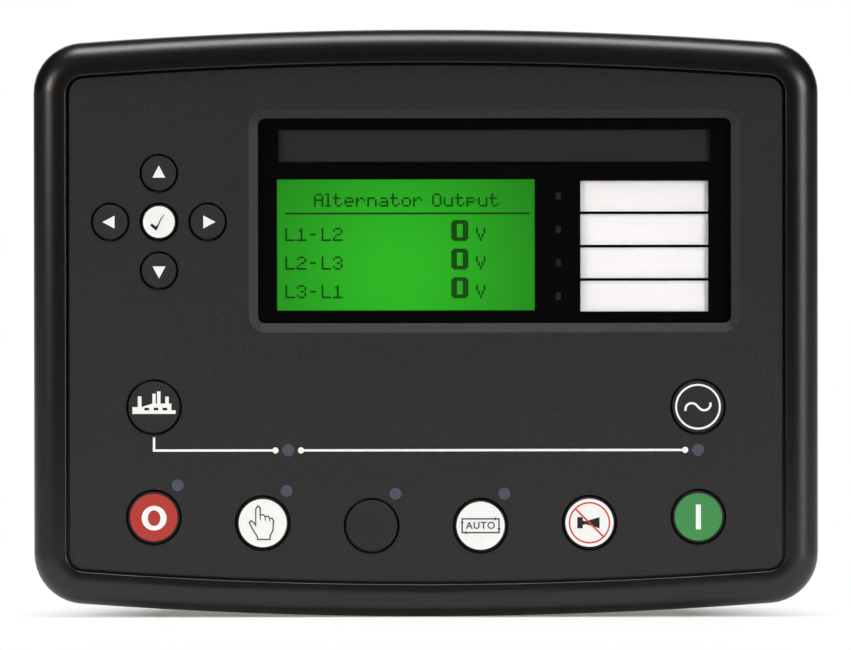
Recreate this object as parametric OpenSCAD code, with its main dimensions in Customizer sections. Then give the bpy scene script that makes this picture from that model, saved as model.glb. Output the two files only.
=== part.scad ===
// Genset controller for panel mounting: a crowned front bezel round a fascia with a display
// window, thirteen sprung keys and indicator lenses, and a rear case with plug-in terminals.
// Drawn flat: x to the right, y up, z towards the user, with z = 0 on the face of the panel
// that it is fitted to. The last step stands it up, so that it looks along -Y with +Z up.

/* [Panel fitting] */
// Width of the cut-out in the panel
cutout_w = 220; // [216:1:250]
// Height of the cut-out in the panel
cutout_h = 160; // [158:1:190]
// Gap between the case and the cut-out, all round
cutout_gap = 0.7; // [0.4:0.1:1]
// Overlap of the bezel past the cut-out at each side
flange_x = 12.5; // [11.5:0.1:16]
// Overlap of the bezel past the cut-out at the middle of the top and bottom edges
flange_y = 11.7; // [11:0.1:14]
// Thickness of the sealing gasket
gasket_t = 1.2; // [0.8:0.1:2]
// Distance from the outer edge of the bezel to the gasket
gasket_inset = 1.5; // [1:0.1:2.5]

/* [Bezel] */
// Radius of the crowned top and bottom edges
crown_r = 1450; // [900:10:2400]
// Width of the roll, seen from the front
bezel_w = 10.3; // [9:0.1:11.5]
// Radius of the corner inside the roll
inner_corner_r = 5.5; // [3:0.1:9]
// Height of the roll's crest above the panel
crest_z = 12.2; // [11.5:0.1:16]
// Height of the bezel's straight outer wall above the panel
side_wall_z = 4.8; // [3:0.1:6]
// Width of the rounded part of the roll
roll_w = 8; // [6:0.1:8.4]
// Drop from the crest to the inner lip
lip_drop = 0.25; // [0:0.05:0.6]
// Edge radius of the inner lip
lip_r = 0.5; // [0.2:0.1:0.8]
// Wall of the bezel moulding
bezel_wall = 2.3; // [1.6:0.1:2.8]
// Landing of the case rim on the back of the bezel
rim_landing = 1.8; // [1:0.1:2.2]

/* [Fascia] */
// Drop from the crest of the bezel to the fascia
fascia_drop = 1.6; // [0.8:0.1:2.2]
// Thickness of the fascia
fascia_t = 2.2; // [1.8:0.1:3]
// Gap between the fascia and the bezel
fascia_gap = 0.9; // [0.3:0.1:1]

/* [Display window] */
// Width of the window opening
window_w = 147.7; // [140:0.1:150]
// Height of the window opening
window_h = 64; // [62:0.1:66]
// Middle of the window, right of the centre
window_x = 21.45; // [18:0.05:24]
// Middle of the window, above the centre
window_y = 32; // [30:0.1:36]
// Corner radius of the window opening
window_r = 2.2; // [1:0.1:4]
// Width of the bevel round the window
bevel_w = 2.8; // [1.5:0.1:3.5]
// Depth of the bevel round the window
bevel_d = 1.6; // [0.8:0.1:1.7]
// Thickness of the window's flange
lens_t = 1.5; // [1:0.1:2]
// Overlap of the window's flange behind the fascia
lens_overlap = 2; // [1.2:0.1:2.4]
// Rise of the window's pad into the opening
lens_rise = 0.5; // [0.2:0.05:0.6]
// Width of the polished edge of the window's pad
lens_edge = 1; // [0.5:0.1:1.5]
// Thickness of the printed mask behind the window
mask_t = 0.25; // [0.15:0.05:0.4]

/* [Display] */
// Width of the part of the liquid crystal display that shows
view_w = 80.4; // [76:0.1:84]
// Height of the part of the liquid crystal display that shows
view_h = 40.9; // [38:0.1:42]
// Middle of the display, right of the middle of the window
view_x = -27.65; // [-29.5:0.05:-25.5]
// Middle of the display, above the middle of the window
view_y = -7.55; // [-9:0.05:-6]
// Margin of the display glass round the part that shows
glass_margin = 2.8; // [2:0.1:3.2]
// Thickness of the display glass
glass_t = 2.6; // [2:0.1:3]
// Thickness of the metal frame round the display glass
frame_t = 0.5; // [0.3:0.1:0.8]

/* [Insert cards] */
// Width of the label fields that show
fields_w = 39.9; // [36:0.1:41]
// Height of the block of label fields that shows
fields_h = 40.8; // [38:0.1:42]
// Middle of the label fields, right of the middle of the window
fields_x = 46.8; // [45.5:0.05:48.5]
// Middle of the label fields, above the middle of the window
fields_y = -8; // [-9:0.1:-7]
// Number of label fields
field_count = 4; // [3:1:6]
// Width of the bars between the label fields
field_bar = 0.85; // [0.5:0.05:1.2]
// Width of the header strip that shows
header_w = 134.7; // [128:0.1:138]
// Height of the header strip that shows
header_h = 10; // [8:0.1:10.5]
// Middle of the header strip, above the middle of the window
header_y = 23.4; // [23:0.1:25]
// Margin of an insert card round the part that shows
card_margin = 0.8; // [0.5:0.1:1.2]
// Thickness of an insert card
card_t = 0.4; // [0.2:0.1:0.6]
// Depth of the insert cards behind the mask
card_set = 1; // [0.5:0.1:1.4]

/* [Keys] */
// Radius of the large keys
key_r = 8; // [7:0.1:8.4]
// Radius of the navigation keys
nav_key_r = 5.35; // [4.6:0.05:5.6]
// Gap round each key
key_gap = 0.75; // [0.4:0.05:0.9]
// How far the keys stand out of the fascia
key_proud = 0.5; // [0:0.1:1]
// Travel of the keys
key_travel = 1; // [0.5:0.1:1.2]
// Edge radius of the keys
key_edge_r = 0.4; // [0.2:0.1:0.8]
// Width of the flange that holds each key in
key_flange_w = 1; // [0.6:0.1:1.2]
// Thickness of the flange that holds each key in
key_flange_t = 1; // [0.6:0.1:1.2]
// Shift of the navigation keys from the middle of the space left of the window
nav_x = -0.95; // [-3:0.05:3]
// Middle of the navigation keys, above the centre
nav_y = 31.75; // [28:0.05:36]
// Pitch of the navigation keys
nav_pitch = 15.2; // [14.8:0.1:17]
// Height of the source and load keys above the centre
source_y = -26.1; // [-28:0.1:-22]
// Distance of the source and load keys from the centre line
source_x = 84.9; // [82:0.1:87]
// Pitch of the row of mode keys
row_pitch = 34; // [30:0.1:35]
// Height of the middle of the row of mode keys above the bottom of the cut-out
row_y = 16.7; // [15:0.1:20]
// Radius of the arc that the row of mode keys follows
row_r = 1290; // [900:10:2400]

/* [Indicators] */
// Radius of the indicator lenses
lens_r = 1.95; // [1.4:0.05:2.2]
// Width of the flange that holds each lens in
lens_flange_w = 0.4; // [0.3:0.05:0.6]
// Offset of a mode lens from its key, to the right
lamp_dx = 7.45; // [7:0.05:9]
// Offset of a mode lens from its key, upwards
lamp_dy = 10; // [9.5:0.1:12]
// Height of the lenses on the supply line above the centre
line_y = -39.6; // [-41:0.1:-39.2]
// Place of the load lens on the supply line, right of the centre
line_x = -43; // [-48:0.1:-38]
// Width of the alarm light guides
guide_w = 2; // [1.2:0.1:2.6]
// Height of the alarm light guides
guide_h = 4.5; // [3:0.1:6]
// Middle of the alarm light guides, right of the middle of the window
guide_x = 19.95; // [19.1:0.05:21.6]

/* [Circuit boards] */
// Thickness of the circuit boards
board_t = 1.6; // [1:0.1:2]
// Space between the fascia and the display board
board_drop = 8; // [7.6:0.1:9]
// Space between the two boards
board_space = 7.8; // [6:0.1:9]
// Gap between the boards and the case
board_gap = 3.5; // [2:0.1:5]
// Height of the key switches
switch_h = 5; // [4:0.1:5.2]
// Side of the square key switches
switch_w = 6; // [5:0.1:6.4]

/* [Rear case] */
// Overall depth of the case behind the panel
case_depth = 38.8; // [36:0.1:44]
// Depth of the terminal ledges behind the panel
ledge_depth = 20.8; // [20:0.1:24]
// Wall of the rear case
case_wall = 2.5; // [2:0.1:3]
// Corner radius of the rear case
case_r = 5; // [3:0.5:8]
// Height of the raised middle of the rear case
plateau_h = 100; // [90:1:104]
// Edge chamfer of the raised middle
case_edge = 1.5; // [0.5:0.1:2]
// Slope of the flanks of the raised middle
plateau_slope = 3; // [1:0.5:5]
// Width of the shallow field in the back
back_field_w = 118; // [60:1:150]
// Height of the shallow field in the back
back_field_h = 58; // [40:1:70]
// Depth of the shallow field in the back
back_field_d = 0.6; // [0.3:0.1:1]
// Thickness of the webs between the ledges and the raised middle
web_t = 1.8; // [1.2:0.1:2.4]
// Reach of the webs across the ledges
web_reach = 5; // [3:0.5:6]
// Height of the webs
web_h = 10; // [6:0.5:14]
// Distance of the screw posts from the inside of the case walls
post_inset_x = 4.8; // [4.6:0.1:6]
// Distance of the screw posts from the inside of the top and bottom walls
post_inset_y = 7.8; // [7.6:0.1:9]
// Radius of the screw posts
post_r = 4.4; // [4:0.1:4.6]
// Length of a slot for a fixing clip, up the wall
clip_slot_h = 6; // [4:0.5:8]
// Width of a slot for a fixing clip
clip_slot_w = 2.6; // [2:0.1:4]
// Distance of the fixing clips above and below the centre
clip_y = 30; // [20:1:34]
// Distance of the first clip slot behind the panel
clip_first_z = 12; // [11:0.5:14]
// Step from one clip slot to the next
clip_step_z = 8; // [6:0.5:9]

/* [Terminals] */
// Pitch of the signal terminals
signal_pitch = 5.08; // [5:0.01:5.08]
// Pitch of the mains terminals
mains_pitch = 7.62; // [7.5:0.01:7.62]
// Shift of the terminal rows from the middle of their ledges, outwards
terminal_y = -0.65; // [-1.6:0.05:0.4]
// Gap between neighbours in a terminal row
terminal_gap = 4; // [3:0.1:5]
// Room between the ends of the terminal rows and the screw posts
terminal_margin = 4.7; // [4:0.1:5]

/* [Hidden] */
$fn = 48;
corner_steps = 10;
crown_steps = 8;
roll_steps = 9;
least_r = 0.3;

// Clearances between pieces that fit into each other
seat_gap = 0.1;
slip_gap = 0.3;
screw_gap = 0.05;

// Outline of the front, from the cut-out
half_w = cutout_w / 2 + flange_x;
half_h = cutout_h / 2 + flange_y;
corner_r = inner_corner_r + bezel_w;
crown_y = half_h - crown_r;
corner_x = half_w - corner_r;
corner_y = crown_y + sqrt(pow(crown_r - corner_r, 2) - pow(corner_x, 2));
crown_a = asin(corner_x / (crown_r - corner_r));
case_w = cutout_w - 2 * cutout_gap;
case_h = cutout_h - 2 * cutout_gap;
// Distance from the outer edge of the bezel to the edge of its opening
opening_inset = flange_x + cutout_gap + rim_landing;

// Places on the fascia
fascia_left = bezel_w - half_w;
window_low = window_y - window_h / 2;
window_high = window_y + window_h / 2;
window_edge = window_x - window_w / 2;
VIEW = [window_x + view_x, window_y + view_y];
FIELDS = [window_x + fields_x, window_y + fields_y];
HEADER = [window_x, window_y + header_y];
NAV = [(fascia_left + window_edge) / 2 + nav_x, nav_y];
row_mid_y = row_y - cutout_h / 2;

// Levels above the panel
fascia_z = crest_z - fascia_drop;
fascia_back = fascia_z - fascia_t;
lens_back = fascia_back - lens_t;
mask_back = lens_back - mask_t;
card_front = mask_back - card_set;
card_back = card_front - card_t;
board_front = fascia_back - board_drop;
board_back = board_front - board_t;
main_front = board_back - board_space;
main_back = main_front - board_t;
ledge_z = -ledge_depth;
back_z = -case_depth;
ledge_floor = ledge_z + case_wall;
plateau_floor = back_z + case_wall;

// Display stack
glass_front = mask_back - slip_gap;
glass_back = glass_front - glass_t;
glass_w = view_w + 2 * glass_margin;
glass_h = view_h + 2 * glass_margin;
frame_w = glass_w + 2 * (seat_gap + frame_t);
frame_h = glass_h + 2 * (seat_gap + frame_t);
frame_lip_t = 0.2;
frame_sight = 1;
carrier_wall = 1.6;
carrier_floor_t = 1.2;
carrier_w = window_w + 2 * (lens_overlap - slip_gap);
carrier_h = window_h + 2 * (lens_overlap - slip_gap);
field_pitch = (fields_h + field_bar) / field_count;
field_h = field_pitch - field_bar;

// Keys: name, place, radius and colour
dark_key = "#343434";
white_key = "#f4f4f4";
function row_place(i) = let (x = (i - 2.5) * row_pitch) [x, row_mid_y + row_r - sqrt(row_r * row_r - x * x)];
KEYS = [
  ["key_up", NAV + [0, nav_pitch], nav_key_r, dark_key],
  ["key_down", NAV - [0, nav_pitch], nav_key_r, dark_key],
  ["key_left", NAV - [nav_pitch, 0], nav_key_r, dark_key],
  ["key_right", NAV + [nav_pitch, 0], nav_key_r, dark_key],
  ["key_accept", NAV, nav_key_r, white_key],
  ["key_load", [-source_x, source_y], key_r, dark_key],
  ["key_source", [source_x, source_y], key_r, dark_key],
  ["key_stop", row_place(0), key_r, "#c6413c"],
  ["key_manual", row_place(1), key_r, white_key],
  ["key_spare", row_place(2), key_r, dark_key],
  ["key_auto", row_place(3), key_r, white_key],
  ["key_mute", row_place(4), key_r, white_key],
  ["key_start", row_place(5), key_r, "#43994f"],
];
MODE_LAMPS = [for (i = [0:3]) row_place(i) + [lamp_dx, lamp_dy]];
LINE_LAMPS = [[line_x, line_y], [source_x, line_y]];
GUIDES = [for (i = [0:field_count - 1])
  [window_x + guide_x, FIELDS[1] + ((field_count - 1) / 2 - i) * field_pitch]];

// Key stack, from the fascia to the switch
key_top = fascia_z + key_proud;
flange_top = fascia_back - seat_gap;
flange_bottom = flange_top - key_flange_t;
mat_t = 1.2;
mat_top = flange_bottom - key_travel - seat_gap;
mat_bottom = mat_top - mat_t;
boss_r = 3;
boss_bottom = board_front + switch_h + key_travel + seat_gap;
switch_cap_h = 1.5;
switch_cap_r = 1.75;
collar_r = 6.2;
collar_hole_r = switch_w * sqrt(2) / 2 + 2 * slip_gap;
led_w = 1.6;
led_t = 0.8;
lens_flange_r = lens_r + lens_flange_w;

// Fixings
post_x = case_w / 2 - case_wall - post_inset_x;
post_y = case_h / 2 - case_wall - post_inset_y;
POSTS = [for (i = [-1, 1], j = [-1, 1]) [i * post_x, j * post_y]];
fascia_boss_r = 3.4;
fascia_boss_end = board_front + seat_gap;
case_screw_r = 1.5;
case_screw_head_r = 2.8;
case_screw_head_t = 2;
case_screw_bite = 5.5;
board_boss_r = 2.8;
board_screw_r = 1;
board_screw_head_r = 2.2;
board_screw_head_t = 1.5;
board_screw_bite = 5;
boss_side_gap = 4;
boss_level_gap = 2;
boss_below_gap = 5;
boss_corner_gap = 3;
window_left = window_edge - lens_overlap;
window_bottom = window_low - lens_overlap;
window_top = window_high + lens_overlap;
BOARD_BOSSES = [
  [window_left - board_boss_r - boss_side_gap, window_top - boss_level_gap],
  [window_left - board_boss_r - boss_side_gap, window_bottom - boss_level_gap],
  [window_x, window_bottom - board_boss_r - boss_below_gap],
  [post_x - boss_level_gap, window_bottom - board_boss_r - boss_corner_gap],
  [-row_pitch, row_mid_y],
  [row_pitch, row_mid_y],
];
spacer_r = 2.75;
spacer_screw_r = 1.3;
spacer_screw_bite = 4;
spacer_inset_x = 12;
spacer_inset_y = 8;
spacer_x = post_x - spacer_inset_x;
spacer_y = plateau_h / 2 - spacer_inset_y;
SPACERS = [for (i = [-1, 1], j = [-1, 1]) [i * spacer_x, j * spacer_y]];
screw_slot_w = 0.7;
screw_slot_d = 0.6;

// Terminals: name, number of ways and pitch, from left to right as seen from the front
serial_w = 31;
ethernet_w = 16.2;
usb_w = 12.2;
upper_plugs = 2;
terminal_end = 0.8;
terminal_row_y = (plateau_h + case_h) / 4 + terminal_y;
row_room = 2 * (post_x - post_r - terminal_margin);
dc_ways = 11;
sensor_ways = 6;
link_ways = 3;
mains_ways = 8;
// Length of each row without its one plug that takes as many ways as the row has room for
lower_taken = (dc_ways + sensor_ways + link_ways) * signal_pitch + 8 * terminal_end + 3 * terminal_gap;
upper_taken = mains_ways * mains_pitch + 4 * terminal_end + serial_w + ethernet_w + usb_w + 4 * terminal_gap;
expansion_ways = floor((row_room - lower_taken) / signal_pitch);
input_ways = floor((row_room - upper_taken) / signal_pitch);
LOWER = [
  ["dc_supply", dc_ways, signal_pitch],
  ["sensors", sensor_ways, signal_pitch],
  ["expansion", expansion_ways, signal_pitch],
  ["data_link", link_ways, signal_pitch],
];
UPPER = [
  ["generator", mains_ways, mains_pitch],
  ["inputs", input_ways, signal_pitch],
  ["serial", serial_w, 1],
  ["ethernet", ethernet_w, 1],
  ["usb", usb_w, 1],
];
function row_item_w(row, i) = row[i][1] * row[i][2] + (row[i][2] > 1 ? 2 * terminal_end : 0);
function row_run(row, n) = n <= 0 ? 0 : row_run(row, n - 1) + row_item_w(row, n - 1) + terminal_gap;
function row_x(row, i) = row_run(row, i) + row_item_w(row, i) / 2
  - (row_run(row, len(row)) - terminal_gap) / 2;
PLUGS = concat(
  [for (i = [0:len(LOWER) - 1]) [LOWER[i][0], LOWER[i][1], LOWER[i][2], row_x(LOWER, i), -1]],
  [for (i = [0:upper_plugs - 1]) [UPPER[i][0], UPPER[i][1], UPPER[i][2], row_x(UPPER, i), 1]]
);
function gap_x(row, i) = row_x(row, i) + (row_item_w(row, i) + terminal_gap) / 2;
WEBS = concat(
  [for (i = [0:len(LOWER) - 2]) [gap_x(LOWER, i), -1]],
  [for (i = [0:len(UPPER) - 2]) [gap_x(UPPER, i), 1]]
);
serial_x = row_x(UPPER, upper_plugs);
ethernet_x = row_x(UPPER, upper_plugs + 1);
usb_x = row_x(UPPER, upper_plugs + 2);

// Terminal header and plug
header_d = 8.6;
header_rise = 1.5;
header_wall = 1;
header_floor_t = 2.4;
header_end = ledge_z - header_rise;
plug_top = header_end - seat_gap;
plug_low = 6;
plug_high = 7.5;
plug_chamfer = 2;
tongue_tip = main_back - header_floor_t - slip_gap;
wire_w = 3.6;
wire_h = 4;
wire_depth = 8;
wire_rise = -1;
clamp_hole_r = 1.9;
clamp_hole_depth = 4.6;
clamp_screw_r = 1.75;
clamp_screw_t = 2.6;
clamp_level = 0.45;
clamp_z = plug_top + (back_z - plug_top) * clamp_level;

// What the main board carries: sizes and places
link_pins = 20;
link_pitch = 2.54;
link_d = 5;
relay_w = 20;
relay_d = 15.6;
relay_h = 15.5;
relay_pitch = 24;
RELAY = [40, 18];
capacitor_r = 6.3;
capacitor_h = 20;
capacitor_pitch = 16;
CAPACITOR = [-66, 22];
processor_w = 24;
processor_t = 1.6;
PROCESSOR = [0, -6];
battery_r = 10;
battery_h = 3.2;
holder_wall = 1.5;
holder_floor_t = 1.2;
BATTERY = [-56, -18];
sounder_r = 6.5;
sounder_h = 9;
sounder_port_r = 1.2;
sounder_port_d = 1.5;
SOUNDER = [58, -18];

// Data sockets
socket_end = ledge_z - header_rise;
ethernet_d = 13.6;
ethernet_port_w = 11.9;
ethernet_port_d = 8;
ethernet_port_depth = 9;
usb_d = 11;
usb_port_w = 8.5;
usb_port_d = 7.8;
usb_port_depth = 9;
usb_tongue_w = 5.6;
usb_tongue_d = 3.1;
serial_plate_d = 12.5;
serial_plate_t = 1;
serial_body_w = 19.2;
serial_body_d = 10.6;
serial_shell_w = 17;
serial_shell_d = 8.4;
serial_shell_h = 5.8;
serial_shell_t = 0.7;
serial_slope = 10;
serial_pin_r = 0.5;
serial_pin_pitch = 2.77;
serial_row_d = 2.84;
serial_bolt_x = 12.5;
serial_bolt_r = 2.6;
serial_bolt_h = 5;
// Openings for the sockets in the case: place, width and height
SOCKETS = [
  [serial_x, serial_body_w, serial_body_d],
  [ethernet_x, ethernet_w, ethernet_d],
  [usb_x, usb_w, usb_d],
];

// Shared shapes

// Stands the drawing up: z to the user becomes -Y, y becomes +Z.
module upright() { rotate([90, 0, 0]) children(); }

// One station of the outline: centre, radius and direction.
function quarter_stations() = concat(
  [for (i = [0:corner_steps]) [corner_x, corner_y, corner_r, i / corner_steps * (90 - crown_a)]],
  [for (i = [1:crown_steps]) [0, crown_y, crown_r, 90 - crown_a + i / crown_steps * crown_a]]
);
function mirrored(s) = [-s[0], s[1], s[2], 180 - s[3]];
function turned(s) = [-s[0], -s[1], s[2], s[3] + 180];
function half_stations() = let (q = quarter_stations(), n = len(q))
  concat(q, [for (i = [n - 2:-1:0]) mirrored(q[i])]);
function all_stations() = let (h = half_stations()) concat(h, [for (s = h) turned(s)]);
STATIONS = all_stations();

// A point of the outline moved in by u. A corner that is used up keeps a small radius.
function inset_point(s, u) = let (used = max(0, u + least_r - s[2]), r = s[2] - u + used)
  [s[0] - sign(s[0]) * used + r * cos(s[3]), s[1] - sign(s[1]) * used + r * sin(s[3])];
function outline(u) = [for (s = STATIONS) inset_point(s, u)];

// A rectangle with round corners, about its middle.
function round_rect(w, h, r, steps = 6) = [
  for (c = [[1, 1, 0], [-1, 1, 90], [-1, -1, 180], [1, -1, 270]], i = [0:steps])
    [c[0] * (w / 2 - r) + r * cos(c[2] + 90 * i / steps), c[1] * (h / 2 - r) + r * sin(c[2] + 90 * i / steps)]
];

// A slab with a drawn outline between two levels.
module slab(points, low, high) { translate([0, 0, low]) linear_extrude(high - low) polygon(points); }

// A straight block about a middle, between two levels.
module block(w, h, low, high, x = 0, y = 0) {
  translate([x - w / 2, y - h / 2, low]) cube([w, h, high - low]);
}

// A round rod at a place, between two levels.
module rod(r, low, high, at = [0, 0]) { translate([at[0], at[1], low]) cylinder(r = r, h = high - low); }

// A solid between two outlines that have as many points.
module loft(bottom, top, low, high) {
  n = len(bottom);
  polyhedron(
    points = concat([for (p = bottom) [p[0], p[1], low]], [for (p = top) [p[0], p[1], high]]),
    faces = concat(
      [[for (i = [0:n - 1]) i]],
      [[for (i = [n - 1:-1:0]) n + i]],
      [for (i = [0:n - 1]) [i, n + i, n + (i + 1) % n, (i + 1) % n]]
    )
  );
}

// A closed ring with one section all round: each section point is [distance in, level].
module ring_sweep(section) {
  n = len(STATIONS);
  m = len(section);
  polyhedron(
    points = [for (s = STATIONS, q = section) let (p = inset_point(s, q[0])) [p[0], p[1], q[1]]],
    faces = [for (i = [0:n - 1], j = [0:m - 1])
      [i * m + j, i * m + (j + 1) % m, ((i + 1) % n) * m + (j + 1) % m, ((i + 1) % n) * m + j]]
  );
}

// A screw with a slotted round head below its seat, its shank rising from the seat.
module slotted_screw(shank_r, shank_h, head_r, head_t) {
  cylinder(r = shank_r, h = shank_h);
  difference() {
    translate([0, 0, -head_t]) cylinder(r = head_r, h = head_t);
    translate([-head_r, -screw_slot_w / 2, -head_t]) cube([2 * head_r, screw_slot_w, screw_slot_d]);
  }
}

// Front mouldings

// Section of the bezel: a roll with an inner lip, a shelf for the fascia and a cored back.
function roll(w, h, u0, z0) = [for (i = [0:roll_steps]) let (a = 90 * i / roll_steps)
  [u0 + w * (1 - cos(a)), z0 + h * sin(a)]];
function bezel_section() = let (
    lip_z = crest_z - lip_drop,
    core_r = bezel_w - bezel_wall,
    core_z = fascia_back - bezel_wall / 2
  ) concat(
  [[0, gasket_t]],
  roll(roll_w, crest_z - side_wall_z, 0, side_wall_z),
  [for (a = [0:30:90]) [bezel_w - lip_r + lip_r * sin(a), lip_z - lip_r + lip_r * cos(a)]],
  [[bezel_w, fascia_back], [opening_inset, fascia_back], [opening_inset, gasket_t], [core_r, gasket_t]],
  [[core_r, core_z], [(core_r + bezel_wall) / 2, core_z], [bezel_wall, side_wall_z], [bezel_wall, gasket_t]]
);

module front_bezel() { color("#1d1d1c") upright() ring_sweep(bezel_section()); }

// Flat seal on the back of the bezel, with the cut-out's own opening.
module panel_gasket() {
  color("#26272a") upright() difference() {
    slab(outline(gasket_inset), 0, gasket_t);
    slab(round_rect(cutout_w + 2 * slip_gap, cutout_h + 2 * slip_gap, case_r), -1, gasket_t + 1);
  }
}

function window_outline(grow) = let (r = window_r + max(grow, 0))
  [for (p = round_rect(window_w + 2 * grow, window_h + 2 * grow, r)) p + [window_x, window_y]];

module fascia_panel() {
  color("#343434") upright() difference() {
    union() {
      slab(outline(bezel_w + fascia_gap), fascia_back, fascia_z);
      for (p = POSTS) rod(fascia_boss_r, fascia_boss_end, fascia_back, p);
      for (p = BOARD_BOSSES) rod(board_boss_r, board_front, fascia_back, p);
    }
    slab(window_outline(0), fascia_back - 1, fascia_z + 1);
    loft(window_outline(0), window_outline(bevel_w), fascia_z - bevel_d, fascia_z);
    for (k = KEYS) rod(k[2] + key_gap, fascia_back - 1, fascia_z + 1, k[1]);
    for (p = concat(MODE_LAMPS, LINE_LAMPS)) rod(lens_r + seat_gap, fascia_back - 1, fascia_z + 1, p);
    for (p = POSTS) rod(case_screw_r + screw_gap, fascia_boss_end - 1, fascia_boss_end + case_screw_bite, p);
    for (p = BOARD_BOSSES) rod(board_screw_r + screw_gap, board_front - 1, board_front + board_screw_bite, p);
  }
}

// Clear window: a flange behind the fascia and a pad with a polished edge in the opening.
module display_window() {
  color("#dfe6e8", 0.35) upright() {
    slab(window_outline(lens_overlap), lens_back, fascia_back);
    loft(window_outline(-slip_gap), window_outline(-slip_gap - lens_edge),
      fascia_back, fascia_back + lens_rise);
  }
}

// Black printed film behind the window, open over the display, the header strip and the label fields.
module window_mask() {
  color("#0c0c0c") upright() difference() {
    slab(window_outline(lens_overlap), mask_back, lens_back);
    block(view_w, view_h, mask_back - 1, lens_back + 1, VIEW[0], VIEW[1]);
    block(header_w, header_h, mask_back - 1, lens_back + 1, HEADER[0], HEADER[1]);
    for (g = GUIDES) block(fields_w, field_h, mask_back - 1, lens_back + 1, FIELDS[0], g[1]);
  }
}

// Black carrier behind the mask: pockets for the cards, openings for the display and the light guides.
module display_carrier() {
  pocket_front = mask_back + 1;
  color("#151515") upright() difference() {
    block(carrier_w, carrier_h, board_front, mask_back, window_x, window_y);
    difference() {
      block(carrier_w - 2 * carrier_wall, carrier_h - 2 * carrier_wall, board_front - 1,
        card_back - carrier_floor_t, window_x, window_y);
      block(frame_w + 2 * (slip_gap + carrier_wall), frame_h + 2 * slip_gap, board_front - 2, mask_back,
        VIEW[0], VIEW[1]);
    }
    block(frame_w + 2 * slip_gap, frame_h + 2 * slip_gap, board_front - 1, pocket_front, VIEW[0], VIEW[1]);
    block(header_w + 2 * card_margin + 2 * slip_gap, header_h + 2 * card_margin + 2 * seat_gap,
      card_back, pocket_front, HEADER[0], HEADER[1]);
    block(fields_w + 4 * card_margin + 2 * slip_gap, fields_h + 4 * card_margin + 2 * slip_gap,
      card_back, pocket_front, FIELDS[0], FIELDS[1]);
    for (g = GUIDES)
      block(guide_w + 2 * seat_gap, guide_h + 2 * seat_gap, board_front - 1, pocket_front, g[0], g[1]);
  }
}

module lcd_glass() {
  color("#2fb32a") upright() block(glass_w, glass_h, glass_back, glass_front, VIEW[0], VIEW[1]);
}

module lcd_backlight() {
  color("#e8efe2") upright() block(glass_w, glass_h, board_front, glass_back, VIEW[0], VIEW[1]);
}

// Bent metal frame that holds the glass down on its backlight.
module lcd_frame() {
  color("#7d8083") upright() difference() {
    block(frame_w, frame_h, board_front, glass_front + frame_lip_t, VIEW[0], VIEW[1]);
    block(glass_w + 2 * seat_gap, glass_h + 2 * seat_gap, board_front - 1, glass_front, VIEW[0], VIEW[1]);
    block(view_w + 2 * frame_sight, view_h + 2 * frame_sight, board_front, mask_back, VIEW[0], VIEW[1]);
  }
}

module label_card() {
  color("#fbfbfa") upright()
    block(fields_w + 4 * card_margin, fields_h + 4 * card_margin, card_back, card_front,
      FIELDS[0], FIELDS[1]);
}

module header_card() {
  color("#39393a") upright()
    block(header_w + 2 * card_margin, header_h + 2 * card_margin, card_back, card_front,
      HEADER[0], HEADER[1]);
}

module alarm_light_guides() {
  color("#33363a") upright()
    for (g = GUIDES)
      block(guide_w, guide_h, board_front + led_t + slip_gap, mask_back - seat_gap, g[0], g[1]);
}

// Light pipe with a flange under the fascia.
module indicator_lens(p) {
  rod(lens_r, board_front + led_t + slip_gap, fascia_z, p);
  rod(lens_flange_r, flange_bottom, flange_top, p);
}

module mode_lenses() { color("#585b66") upright() for (p = MODE_LAMPS) indicator_lens(p); }

module line_lenses() { color("#585b66") upright() for (p = LINE_LAMPS) indicator_lens(p); }

// Keys and switches

// Key cap with a rounded edge, a flange behind the fascia and a boss above its switch.
module key(k) {
  r = k[2];
  flange_r = r + key_gap + key_flange_w;
  edge = [r - key_edge_r, key_top - key_edge_r];
  color(k[3]) upright() translate([k[1][0], k[1][1], 0]) rotate_extrude() polygon(concat(
    [[0, boss_bottom], [boss_r, boss_bottom], [boss_r, flange_bottom], [flange_r, flange_bottom]],
    [[flange_r, flange_top], [r, flange_top]],
    [for (a = [0:22.5:90]) edge + key_edge_r * [cos(a), sin(a)]],
    [[0, key_top]]
  ));
}

// Silicone sheet behind the keys, with a collar round each switch.
module keypad_mat() {
  side_gap = 2;
  low_gap = 6;
  column_gap = 1.5;
  top_margin = 4;
  left = -case_w / 2 + case_wall + side_gap;
  right = -left;
  low = -case_h / 2 + case_wall + low_gap;
  strip_top = window_bottom - side_gap;
  column_right = window_left - column_gap;
  column_top = NAV[1] + nav_pitch + collar_r + top_margin;
  color("#202123") upright() difference() {
    union() {
      slab([[left, low], [right, low], [right, strip_top], [column_right, strip_top],
        [column_right, column_top], [left, column_top]], mat_bottom, mat_top);
      for (k = KEYS) rod(collar_r, board_front, mat_bottom, k[1]);
    }
    for (k = KEYS) {
      rod(collar_hole_r, board_front - 1, mat_bottom - mat_t / 2, k[1]);
      rod(boss_r + 2 * slip_gap, board_front - 1, mat_top + 1, k[1]);
    }
    for (p = concat(MODE_LAMPS, LINE_LAMPS)) rod(lens_r + slip_gap, mat_bottom - 1, mat_top + 1, p);
    for (p = POSTS) rod(fascia_boss_r + slip_gap, mat_bottom - 1, mat_top + 1, p);
    for (p = BOARD_BOSSES) rod(board_boss_r + slip_gap, mat_bottom - 1, mat_top + 1, p);
  }
}

module key_switches() {
  color("#2b2b2d") upright() for (k = KEYS) {
    block(switch_w, switch_w, board_front, board_front + switch_h - switch_cap_h, k[1][0], k[1][1]);
    rod(switch_cap_r, board_front + switch_h - switch_cap_h, board_front + switch_h, k[1]);
  }
}

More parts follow.
